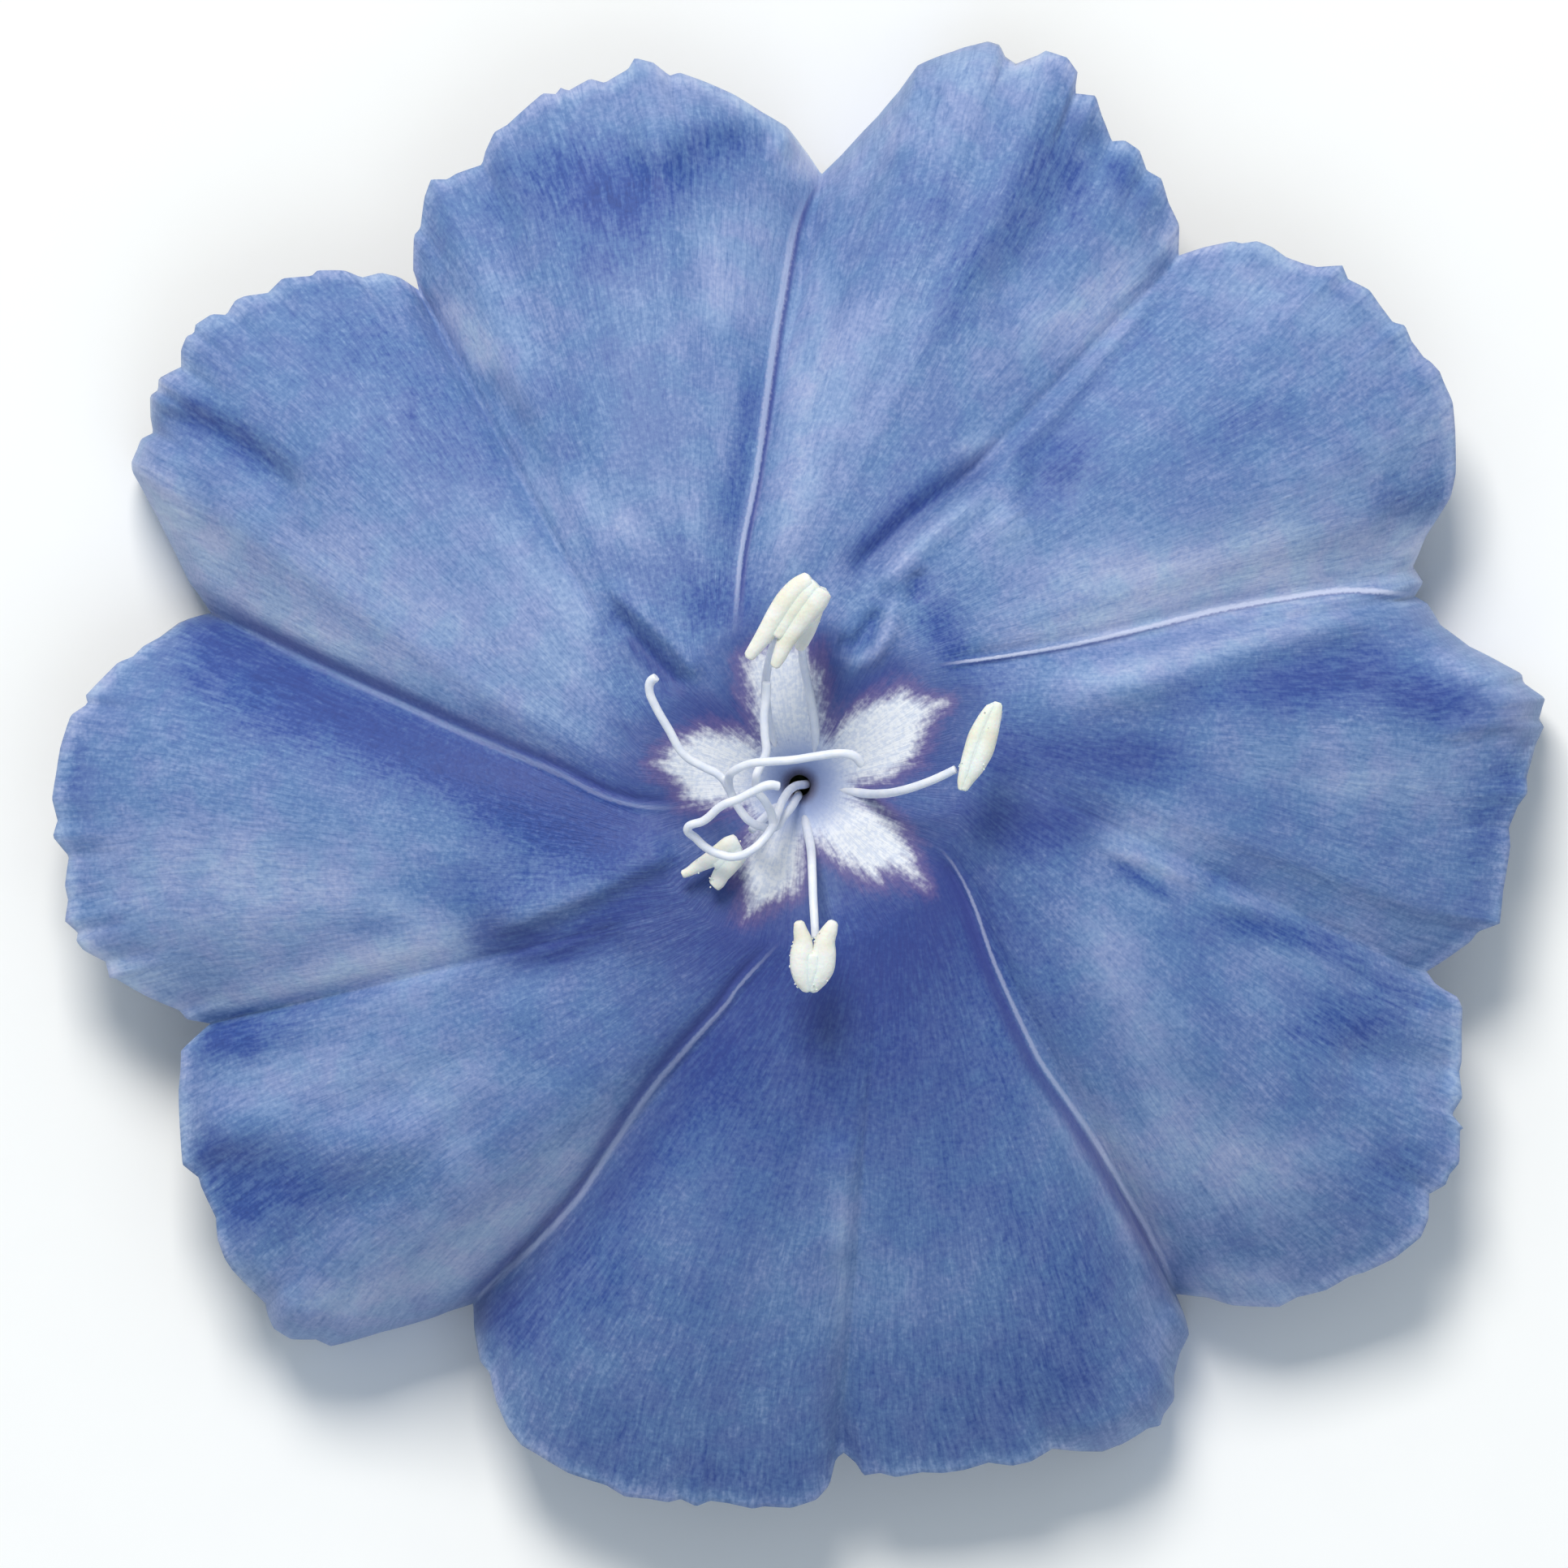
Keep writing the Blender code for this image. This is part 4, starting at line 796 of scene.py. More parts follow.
# %% Pale and deep places of the blue, with painted light and shade
TONE_AND_SHADE_STROKES = (
    # strength (pale above 0, deep below), width and route; besides the blue's own tone, the strokes paint
    # the light and shade of folds and slopes
    # upper left petal
    (-0.9, 0.26, ((215, 502), (250, 514), (300, 545), (350, 590))),
    (0.45, 0.9, ((220, 630), (420, 720), (620, 800), (770, 860))),
    (-0.4, 0.3, ((522, 362), (545, 400), (590, 460), (640, 495))),
    (-0.4, 0.45, ((640, 480), (690, 500), (700, 590))),
    (-0.75, 0.42, ((640, 215), (750, 240), (830, 215), (890, 172), (960, 172))),
    (0.35, 0.55, ((935, 230), (935, 330), (925, 420))),
    (-0.55, 0.2, ((935, 440), (918, 510), (905, 590), (898, 700))),
    (-0.55, 0.22, ((748, 740), (775, 775), (810, 815), (850, 850))),
    (-0.4, 0.45, ((820, 640), (850, 720), (870, 790))),
    (0.3, 0.18, ((770, 722), (805, 755), (850, 790))),
    (0.35, 0.7, ((600, 620), (700, 700), (760, 770))),
    (0.2, 0.7, ((640, 130), (780, 95), (880, 120))),
    (-0.4, 0.6, ((400, 380), (480, 440), (560, 560))),
    (-0.3, 0.9, ((640, 170), (720, 250), (800, 300))),
    (0.75, 0.32, ((545, 370), (575, 410), (620, 470))),
    (0.3, 0.35, ((640, 560), (700, 640))),
    (0.45, 0.3, ((880, 118), (940, 150), (1000, 205))),
    (0.35, 0.4, ((860, 260), (880, 340), (870, 420))),
    (0.4, 0.3, ((560, 880), (640, 920), (720, 950))),
    (0.7, 0.4, ((185, 590), (215, 650), (290, 735), (400, 785), (560, 855))),
    (-0.6, 0.4, ((870, 760), (900, 740), (935, 730))),
    (0.35, 0.3, ((560, 390), (610, 460), (655, 515))),
    (0.4, 0.2, ((190, 455), (165, 560), (180, 630))),
    (1.2, 0.26, ((970, 175), (990, 195), (1006, 222))),
    (-0.4, 0.4, ((850, 745), (900, 760), (950, 770))),
    (-0.3, 0.45, ((710, 670), (760, 720), (790, 760))),
    (-0.3, 0.6, ((660, 180), (750, 230), (830, 290))),
    (-0.3, 0.4, ((500, 540), (590, 590))),
    (-0.3, 0.3, ((600, 230), (620, 330))),
    (-0.2, 0.8, ((720, 170), (780, 350))),
    (-0.3, 0.35, ((560, 500), (630, 620), (700, 720))),
    (-0.4, 0.25, ((730, 760), (780, 880))),
    (-0.3, 0.18, ((955, 430), (940, 540))),
    (0.4, 0.2, ((520, 355), (560, 400))),
    (0.3, 0.3, ((700, 600), (790, 670))),
    (0.3, 0.2, ((905, 450), (890, 600))),
    (0.3, 0.3, ((200, 620), (300, 690))),
    (0.35, 0.25, ((600, 850), (660, 880))),
    (0.3, 0.3, ((800, 560), (850, 640), (860, 700))),
    (0.25, 0.4, ((540, 400), (640, 480), (720, 560))),
    (0.3, 0.3, ((185, 570), (230, 650))),
    (-0.3, 0.15, ((800, 740), (840, 790))),
    (-0.3, 0.2, ((780, 880), (830, 850))),
    (0.25, 0.25, ((760, 630), (820, 700))),
    # upper right petal
    (0.6, 0.36, ((1015, 330), (990, 450), (975, 580), (962, 720))),
    (0.35, 0.45, ((1030, 240), (1090, 170), (1130, 110))),
    (0.4, 0.4, ((1060, 360), (1035, 470), (1020, 560))),
    (0.55, 0.45, ((1425, 300), (1340, 370), (1240, 440))),
    (0.3, 0.4, ((1240, 250), (1200, 330))),
    (0.6, 0.26, ((1210, 795), (1400, 757), (1560, 727), (1720, 715))),
    (0.4, 0.5, ((1600, 560), (1720, 560))),
    (0.5, 0.3, ((1735, 640), (1725, 690))),
    (0.5, 0.7, ((1150, 100), (1230, 80), (1300, 100))),
    (-0.65, 0.42, ((1322, 130), (1292, 200), (1240, 290), (1180, 370), (1140, 420))),
    (-0.5, 0.24, ((1384, 190), (1378, 240))),
    (-0.15, 0.3, ((1430, 240), (1420, 280))),
    (-0.8, 0.18, ((1046, 703), (1073, 671), (1109, 636), (1150, 605), (1185, 583))),
    (0.5, 0.22, ((1085, 718), (1142, 658), (1205, 612))),
    (-0.7, 0.13, ((1082, 755), (1062, 790), (1036, 800))),
    (0.45, 0.12, ((1100, 745), (1080, 805), (1042, 822))),
    (-0.7, 0.11, ((1131, 708), (1128, 750))),
    (-0.35, 0.18, ((1430, 370), (1402, 418), (1366, 450), (1299, 531))),
    (0.3, 0.24, ((1405, 345), (1380, 385), (1330, 440))),
    (-0.6, 0.4, ((1240, 570), (1290, 562), (1330, 590))),
    (0.5, 0.4, ((1215, 655), (1270, 645))),
    (0.5, 0.7, ((1200, 770), (1350, 715), (1500, 680), (1640, 655))),
    (0.6, 0.5, ((1380, 745), (1500, 712), (1620, 692), (1800, 680))),
    (-0.3, 0.35, ((1180, 180), (1150, 260), (1120, 330))),
    (-0.35, 0.3, ((1330, 200), (1310, 260))),
    (-0.4, 0.28, ((1690, 606), (1740, 618), (1790, 605))),
    (-0.3, 0.3, ((1611, 491), (1544, 513), (1480, 560))),
    (0.35, 0.6, ((1490, 330), (1580, 360), (1680, 420))),
    (0.3, 0.5, ((1750, 470), (1765, 550))),
    (0.45, 0.4, ((1640, 660), (1715, 680), (1780, 655))),
    (0.3, 0.5, ((1300, 720), (1450, 690), (1600, 670))),
    (0.3, 0.2, ((1425, 290), (1450, 312))),
    (-0.35, 0.3, ((1150, 730), (1160, 780), (1165, 820))),
    (-0.3, 0.15, ((1000, 370), (992, 470))),
    (-0.3, 0.4, ((1100, 180), (1150, 280))),
    (-0.25, 0.2, ((1215, 240), (1185, 330))),
    (-0.2, 0.3, ((1310, 180), (1340, 300))),
    (-0.4, 0.3, ((1140, 740), (1180, 810), (1250, 840))),
    (-0.3, 0.3, ((1370, 530), (1300, 580), (1240, 640))),
    (-0.3, 0.3, ((1360, 690), (1560, 655))),
    (-0.25, 0.25, ((1600, 530), (1690, 570))),
    (0.35, 0.3, ((1190, 360), (1260, 330))),
    (0.4, 0.2, ((1435, 285), (1445, 310))),
    (0.3, 0.2, ((1400, 400), (1330, 480))),
    (0.5, 0.18, ((1180, 560), (1220, 540))),
    (0.3, 0.2, ((1220, 790), (1400, 770), (1500, 745))),
    (0.25, 0.4, ((1100, 300), (1160, 200), (1210, 130))),
    (0.3, 0.15, ((1150, 605), (1240, 545))),
    (-0.3, 0.25, ((1140, 740), (1180, 830), (1240, 900), (1230, 950))),
    (0.5, 0.2, ((1715, 745), (1770, 720))),
    (0.3, 0.15, ((1320, 800), (1500, 760), (1700, 735))),
    (0.25, 0.5, ((1540, 600), (1690, 620))),
    (0.25, 0.2, ((1110, 400), (1240, 360))),
    # right petal
    (0.6, 0.24, ((1290, 850), (1411, 822), (1500, 797), (1590, 772), (1690, 756))),
    (-0.5, 0.4, ((1400, 895), (1500, 855), (1600, 830), (1680, 818), (1780, 845), (1870, 880))),
    (0.35, 0.3, ((1770, 912), (1890, 888))),
    (-0.7, 0.4, ((1540, 850), (1650, 845), (1760, 862), (1850, 885))),
    (-0.4, 0.35, ((1875, 920), (1850, 1060))),
    (-0.4, 1.1, ((1180, 1080), (1230, 1250), (1300, 1420))),
    (0.7, 0.35, ((1350, 1380), (1400, 1470), (1450, 1570))),
    (0.6, 0.35, ((1450, 1585), (1600, 1575))),
    (-0.3, 0.5, ((1600, 1260), (1700, 1280))),
    (0.4, 0.7, ((1400, 1420), (1500, 1400), (1560, 1480))),
    (0.5, 0.3, ((1385, 1480), (1430, 1560))),
    (-0.35, 0.25, ((1480, 1080), (1540, 1090))),
    (-0.35, 0.3, ((1870, 935), (1830, 1030))),
    (0.35, 0.5, ((1470, 965), (1620, 935), (1760, 965))),
    (-0.7, 0.4, ((1200, 935), (1290, 928), (1400, 935), (1470, 940))),
    (-0.7, 0.4, ((1190, 1020), (1290, 1015), (1340, 1020))),
    (0.4, 0.3, ((1340, 1035), (1420, 1020), (1520, 1040))),
    (-1.0, 0.12, ((1366, 1062), (1400, 1083), (1440, 1106))),
    (0.45, 0.12, ((1357, 1046), (1411, 1062), (1475, 1092))),
    (0.45, 0.5, ((1350, 1110), (1370, 1190), (1420, 1300), (1480, 1460))),
    (0.3, 0.2, ((1470, 1103), (1560, 1110), (1640, 1138), (1720, 1178))),
    (-0.75, 0.24, ((1480, 1132), (1553, 1142), (1640, 1164), (1700, 1195))),
    (-0.45, 0.32, ((1610, 1240), (1700, 1262), (1780, 1290))),
    (-0.35, 0.35, ((1680, 1420), (1760, 1440))),
    (0.3, 0.5, ((1250, 1250), (1330, 1350), (1400, 1460))),
    (0.35, 0.6, ((1500, 1380), (1560, 1450), (1640, 1540))),
    (0.3, 0.45, ((1600, 960), (1700, 960), (1800, 985))),
    (-0.4, 0.5, ((1130, 1060), (1200, 1100))),
    (-0.3, 0.2, ((1670, 1225), (1780, 1240))),
    (-0.3, 0.3, ((1825, 960), (1820, 1080))),
    (-0.3, 0.2, ((1440, 1140), (1500, 1170))),
    (-0.4, 0.2, ((1660, 1190), (1760, 1235))),
    (0.4, 0.25, ((1790, 870), (1890, 880))),
    (0.3, 0.3, ((1230, 1230), (1330, 1360), (1420, 1500))),
    (0.25, 0.4, ((1390, 1080), (1440, 1100))),
    (0.3, 0.25, ((1540, 1170), (1640, 1190))),
    (0.3, 0.4, ((1570, 1420), (1700, 1400))),
    (0.3, 0.3, ((1770, 1240), (1790, 1330))),
    (-0.3, 0.45, ((1170, 960), (1230, 1000), (1280, 1080))),
    (-0.3, 0.25, ((1560, 1270), (1680, 1280))),
    (-0.25, 0.25, ((1560, 950), (1700, 930))),
    (-0.25, 0.3, ((1460, 1180), (1520, 1280))),
    (0.4, 0.3, ((1260, 1310), (1340, 1440), (1410, 1550))),
    (0.35, 0.25, ((1760, 815), (1880, 860))),
    (0.25, 0.2, ((1290, 870), (1440, 850))),
    (0.3, 0.3, ((1750, 800), (1890, 860))),
    (-0.25, 0.5, ((1480, 1550), (1620, 1500), (1740, 1440))),
    (-0.2, 0.5, ((1480, 1380), (1640, 1360))),
    (-0.2, 0.3, ((1320, 950), (1460, 960), (1660, 1040))),
    (0.3, 0.25, ((1530, 1490), (1570, 1540))),
    (0.3, 0.25, ((1740, 1240), (1760, 1330))),
    (-0.25, 0.3, ((1170, 1090), (1230, 1220), (1330, 1380))),
    # bottom petal
    (-0.45, 1.3, ((1000, 1190), (1110, 1220))),
    (0.4, 0.5, ((1035, 1430), (1035, 1540))),
    (-0.6, 0.4, ((1020, 1110), (1080, 1130), (1130, 1180))),
    (-0.22, 2.4, ((850, 1400), (1050, 1450), (1280, 1450))),
    (-0.2, 1.2, ((640, 1650), (800, 1720), (1000, 1700), (1300, 1690))),
    (-0.3, 0.5, ((940, 1250), (880, 1350), (800, 1450), (690, 1600))),
    (0.2, 0.9, ((960, 1560), (1130, 1570), (1260, 1550))),
    (-0.35, 0.6, ((640, 1700), (760, 1800), (900, 1830), (1000, 1810), (1100, 1790), (1300, 1770))),
    (0.3, 0.2, ((1385, 1560), (1425, 1620), (1440, 1690))),
    (-0.4, 0.6, ((920, 1150), (1050, 1160), (1180, 1140))),
    (-0.3, 0.6, ((860, 1260), (900, 1350), (960, 1440))),
    (-0.35, 0.4, ((620, 1580), (650, 1660))),
    (-0.3, 0.25, ((1410, 1680), (1430, 1720))),
    (-0.4, 0.4, ((620, 1600), (650, 1680))),
    (-0.25, 0.7, ((1180, 1720), (1380, 1700))),
    (-0.2, 0.4, ((1330, 1480), (1400, 1600))),
    (0.25, 0.9, ((900, 1560), (1000, 1620), (1150, 1560))),
    (-0.4, 0.7, ((830, 1130), (1000, 1230), (1170, 1150))),
    (-0.35, 0.5, ((930, 1230), (800, 1430), (650, 1610))),
    (-0.3, 0.6, ((1250, 1480), (1330, 1600), (1330, 1750))),
    (-0.3, 0.3, ((1100, 1200), (1110, 1320))),
    (-0.25, 1.5, ((850, 1200), (1000, 1300), (1200, 1250))),
    (-0.2, 0.9, ((1200, 1400), (1300, 1600), (1280, 1750))),
    (-0.3, 0.5, ((640, 1600), (760, 1580), (860, 1600))),
    # painted light that lifts the cast shadow of the bottom anther
    (0.3, 0.2, ((1010, 1220), (1020, 1290))),
    (-0.15, 2.0, ((850, 1500), (1100, 1550), (1300, 1500))),
    (0.3, 0.12, ((1036, 1450), (1036, 1790))),
    # lower left petal
    (0.4, 1.1, ((110, 1090), (300, 1120), (500, 1160), (580, 1200))),
    (-0.6, 0.5, ((230, 790), (300, 850), (400, 900))),
    (-0.7, 0.25, ((215, 735), (262, 770), (330, 805))),
    (0.6, 0.3, ((70, 1140), (130, 1190), (240, 1225))),
    (0.3, 0.22, ((260, 1235), (400, 1200), (520, 1175))),
    (0.8, 0.4, ((340, 1600), (440, 1600), (570, 1560), (640, 1480))),
    (-0.5, 0.3, ((245, 1290), (330, 1275))),
    (-0.5, 0.3, ((265, 1480), (330, 1500))),
    (-0.4, 0.4, ((420, 1130), (560, 1090))),
    (-0.9, 0.5, ((560, 970), (680, 1000), (790, 1040))),
    (0.45, 0.5, ((520, 1600), (620, 1500), (740, 1330))),
    (-0.85, 0.5, ((285, 790), (400, 870), (520, 925), (640, 965), (760, 985))),
    (-0.5, 0.5, ((540, 1095), (600, 1110), (700, 1060))),
    (-0.8, 0.26, ((603, 1162), (689, 1164), (779, 1115), (820, 1090))),
    (0.35, 0.18, ((609, 1143), (667, 1120), (734, 1093), (787, 1066))),
    (0.3, 0.25, ((335, 1230), (424, 1198), (571, 1150))),
    (-0.45, 0.22, ((250, 1275), (312, 1250), (424, 1224), (500, 1205))),
    (0.35, 0.7, ((270, 1300), (420, 1330), (620, 1350))),
    (-0.6, 0.5, ((235, 1405), (300, 1435), (430, 1455))),
    (0.3, 0.7, ((100, 1040), (300, 1060), (480, 1090))),
    (0.3, 0.5, ((300, 1290), (450, 1280), (560, 1280))),
    (0.4, 0.45, ((400, 1540), (500, 1530), (580, 1500))),
    (0.35, 0.5, ((620, 1540), (690, 1450), (760, 1350))),
    (-0.35, 0.7, ((220, 850), (400, 900), (560, 960))),
    (-0.5, 0.35, ((640, 1020), (720, 1040), (800, 1060))),
    (-0.35, 0.5, ((280, 1460), (390, 1510))),
    (-0.35, 0.25, ((240, 1275), (330, 1285))),
    (-0.3, 0.2, ((400, 1145), (560, 1135))),
    (-0.4, 0.25, ((215, 775), (300, 800))),
    (-0.35, 0.6, ((480, 880), (620, 980), (780, 1050))),
    (-0.4, 0.3, ((680, 1090), (780, 1060))),
    (-0.4, 0.3, ((250, 1290), (400, 1265))),
    (-0.3, 0.25, ((95, 900), (90, 990))),
    (-0.3, 0.3, ((240, 1400), (300, 1530))),
    (0.25, 0.25, ((260, 1235), (420, 1195), (600, 1160))),
    (0.4, 0.35, ((560, 1380), (590, 1470))),
    (0.3, 0.3, ((640, 1560), (740, 1430), (850, 1290))),
    (0.35, 0.25, ((600, 1570), (680, 1480), (760, 1380))),
    (0.4, 0.2, ((280, 735), (360, 775), (450, 810))),
    (-0.5, 0.35, ((230, 790), (400, 870), (560, 930), (700, 990), (830, 1040))),
    (-0.35, 0.3, ((600, 960), (720, 1010), (830, 1030))),
    (0.15, 0.5, ((110, 1140), (330, 1165), (580, 1155))),
    (0.25, 0.15, ((225, 1245), (360, 1225), (540, 1190))),
    (-0.3, 0.3, ((235, 1290), (400, 1280), (560, 1290))),
    (-0.25, 0.4, ((270, 1440), (400, 1470), (540, 1450))),
    (-0.25, 0.25, ((640, 1430), (720, 1380))),
    (-0.4, 0.3, ((420, 875), (560, 930), (700, 985), (820, 1020))),
    (-0.25, 0.35, ((620, 1250), (720, 1320), (700, 1420))),
    (0.4, 0.3, ((400, 1100), (500, 1120), (610, 1175))),
    (0.3, 0.3, ((85, 800), (130, 860))),
    (0.25, 0.15, ((225, 1240), (360, 1222), (480, 1200))),
)

TONE_ENDS = (-0.1, 0.25)
TONE_LIMIT = 1.2


def tone_and_shade(x, y):
    """All strokes added up, and pressed together softly where many lie on each other."""
    total = np.zeros_like(x)
    for strength, width, pixels in TONE_AND_SHADE_STROKES:
        distance, _, along = along_route(x, y, pixels)
        ends = ease(*TONE_ENDS, np.minimum(along, 1.0 - along))
        total += strength * bell(distance, width) * ends
    return TONE_LIMIT * np.tanh(total / TONE_LIMIT)


MARK_STARTS = (0.0, 0.1)
DARK_FADES = (1.0, 0.8)
RIB_WIDENS = (0.1, 0.45)
NARROWEST_RIB = 0.6


def nearest_crease(x, y):
    """Signed distance to the nearest crease, above 0 on its left, widths, how pale its rib (partly a
    painted highlight) and how dark its painted shade line.
    """
    nearest, signed = np.full_like(x, 1e9), np.full_like(x, 1e9)
    looks = np.ones((len(x), 4))
    for (*_, fade, pixels), look in zip(CREASES, CREASE_LOOKS):
        distance, side, along = along_route(x, y, rounded(pixels))
        closer = distance < nearest
        nearest = np.where(closer, distance, nearest)
        signed = np.where(closer, distance * side, signed)
        marks = np.tile(look, (len(x), 1))
        marks[:, 0] *= NARROWEST_RIB + (1.0 - NARROWEST_RIB) * ease(*RIB_WIDENS, along)
        marks[:, 2] *= ease(*MARK_STARTS, along) * ease(1.0, fade, along)
        marks[:, 3] *= ease(*MARK_STARTS, along) * ease(*DARK_FADES, along)
        looks[closer] = marks[closer]
    return signed, looks[:, :2], looks[:, 2], looks[:, 3]


# %% Attributes
MEAN_RIM = 11.3
FOLDED_MARGIN = (0.0, 0.03, 0.36, 0.42)
FOLDED_MARGIN_TO_RIM = 5.0


def keep(obj, name, values):
    """Stores a number, or three, with every point of the mesh."""
    values = np.asarray(values, np.float32)
    kind, slot = ("FLOAT", "value") if values.ndim == 1 else ("FLOAT_VECTOR", "vector")
    obj.data.attributes.new(name, kind, "POINT").data.foreach_set(slot, values.ravel())


for face, u, turn, share in ((upper_face, *upper_parts), (lower_face, *lower_parts)):
    x, y, _ = points_of(face).T
    angle = np.radians(turn)
    starts, full, fades, ends = FOLDED_MARGIN
    folded = ease(starts, full, u % 2.0) * ease(ends, fades, u % 2.0)
    crease, widths, pale, dark = nearest_crease(x, y)
    keep(face, "flow", np.c_[np.cos(angle), np.sin(angle), np.hypot(x, y)])
    keep(face, "star", star_depth(x, y))
    keep(face, "violet_and_shade", violet_and_shade_zone(x, y))
    keep(face, "tone_and_shade", tone_and_shade(x, y))
    keep(face, "crease", crease)
    keep(face, "crease_widths", np.c_[widths, np.zeros(len(x))])
    keep(face, "crease_pale", pale)
    keep(face, "crease_dark", dark)
    keep(face, "to_rim", (1.0 - share) * (MEAN_RIM - CREST_RADIUS) + FOLDED_MARGIN_TO_RIM * folded)
    keep(face, "below", np.full(len(x), 1.0 if face is lower_face else 0.0))
    place_points(face, to_row(points_of(face)))
print("attributes:", [a.name for a in upper_face.data.attributes if not a.name.startswith(".")])

# %% [markdown]
# ## One closed sheet
#
# Joined and bridged, the two faces become one thin closed sheet, as a petal is.

# %% Join and bridge
def bridge_open_edges(obj):
    """Bridges the two open loops at the rim and then the two at the tube's foot."""
    bpy.ops.object.select_all(action="DESELECT")
    obj.select_set(True)
    bpy.context.view_layer.objects.active = obj
    places = points_of(obj)
    away = np.hypot(places[:, 0] - THROAT[0] * MM, places[:, 1] - THROAT[1] * MM) / MM
    for outer in (True, False):
        bpy.ops.object.mode_set(mode="EDIT")
        bpy.ops.mesh.select_mode(type="EDGE")
        bpy.ops.mesh.select_all(action="DESELECT")
        bpy.ops.mesh.select_non_manifold(extend=False)
        bpy.ops.object.mode_set(mode="OBJECT")
        for edge in obj.data.edges:
            if edge.select and (away[edge.vertices[0]] > CREST_RADIUS) != outer:
                edge.select = False
        bpy.ops.object.mode_set(mode="EDIT")
        bpy.ops.mesh.bridge_edge_loops()
        bpy.ops.object.mode_set(mode="OBJECT")
    bpy.ops.object.mode_set(mode="EDIT")
    bpy.ops.mesh.select_all(action="SELECT")
    bpy.ops.mesh.normals_make_consistent(inside=False)
    bpy.ops.object.mode_set(mode="OBJECT")


bpy.ops.object.select_all(action="DESELECT")
lower_face.select_set(True)
upper_face.select_set(True)
bpy.context.view_layer.objects.active = upper_face
bpy.ops.object.join()
petals = bpy.context.object
bridge_open_edges(petals)
bpy.ops.object.shade_smooth()
corners = [len(polygon.vertices) for polygon in petals.data.polygons]
print("petals:", sum(corners) - 2 * len(corners), "triangles")
print("open edges:", len(petals.data.edges) * 2 - sum(corners))

# %% [markdown]
# ## The petals' finish
#
# The petal's velvety cells are blue, from deep to pale, and one reading says how pale: the stroked
# tone of the place, which paints the light and shade of folds and slopes as well as the blue's own
# tone, streaks along the veins that are strongest in deep places, soft patches and single cells. Near
# the rim it is paler, partly as a painted sheen. Violet zones, partly painted shade, are laid over
# that, then along each crease a pale rib that is partly a painted highlight and a painted shade line.
# The star comes last, white with ragged tips and a magenta fringe, ringed with violet that is partly
# painted shade, and its throat gets a painted blue-grey shade of the funnel, a painted brownish shadow
# at the hole and pale paint inside the neck that lifts the tube's shade.

# %% Petal finish
BLUES = (
    (-0.25, (0.018, 0.056, 0.255)),
    (0.0, (0.025, 0.075, 0.315)),
    (0.5, (0.11, 0.203, 0.436)),
    (0.75, (0.212, 0.307, 0.548)),
    (1.0, (0.345, 0.44, 0.655)),
    (1.3, (0.5, 0.59, 0.75)),
)
VIOLET_AND_SHADE_BLUE = (0.027, 0.047, 0.238)
LILAC_RIB_HIGHLIGHT = (0.62, 0.66, 0.86)
PAINTED_GROOVE_SHADE = (0.04, 0.055, 0.27)
STAR_WHITE = (0.83, 0.85, 0.9)
STAR_SHADE = (0.66, 0.71, 0.83)
FRINGE = (0.08, 0.055, 0.23)
FRINGE_PINK = (0.3, 0.2, 0.4)
PAINTED_FUNNEL_SHADE = (0.36, 0.45, 0.72)
PAINTED_HOLE_SHADOW = (0.17, 0.15, 0.27)
PAINTED_NECK_LIGHT = (0.9, 0.78, 0.85)
UNDERSIDE = ((0.2, 0.28, 0.5), (0.34, 0.43, 0.64))
LILAC_CAST = (1.07, 0.975, 1.0)
BLUE_CAST = (0.965, 1.005, 1.0)
SHEEN_BLUE = (0.8, 0.88, 1.0, 1.0)

# streaks per turn round the bloom and per mm outwards
NEAR_DASHES = (85.0, 3.6)
FAR_DASHES = (155.0, 3.0)
BROAD_STREAKS = (10.0, 0.5)
HAIRLINES = (60.0, 1.1)
STAR_RAGS = (16.0, 1.6)
STAR_STREAKS = (34.0, 1.4)
# grains per metre
CELLS = 14000.0
HUES = 1700.0
PATCHES = 700.0

# how much each part moves the reading of the blue, and where the reading starts
MIDDLE_BLUE = 0.54
TONE_WEIGHT = 0.54
BROAD_WEIGHT = 0.36
PATCH_WEIGHT = 0.26
DASH_WEIGHT_DEEP = 1.1
DASH_WEIGHT_PALE = 0.5
HAIRLINE_DEPTH = 0.1
MARGIN_PALER = 0.26


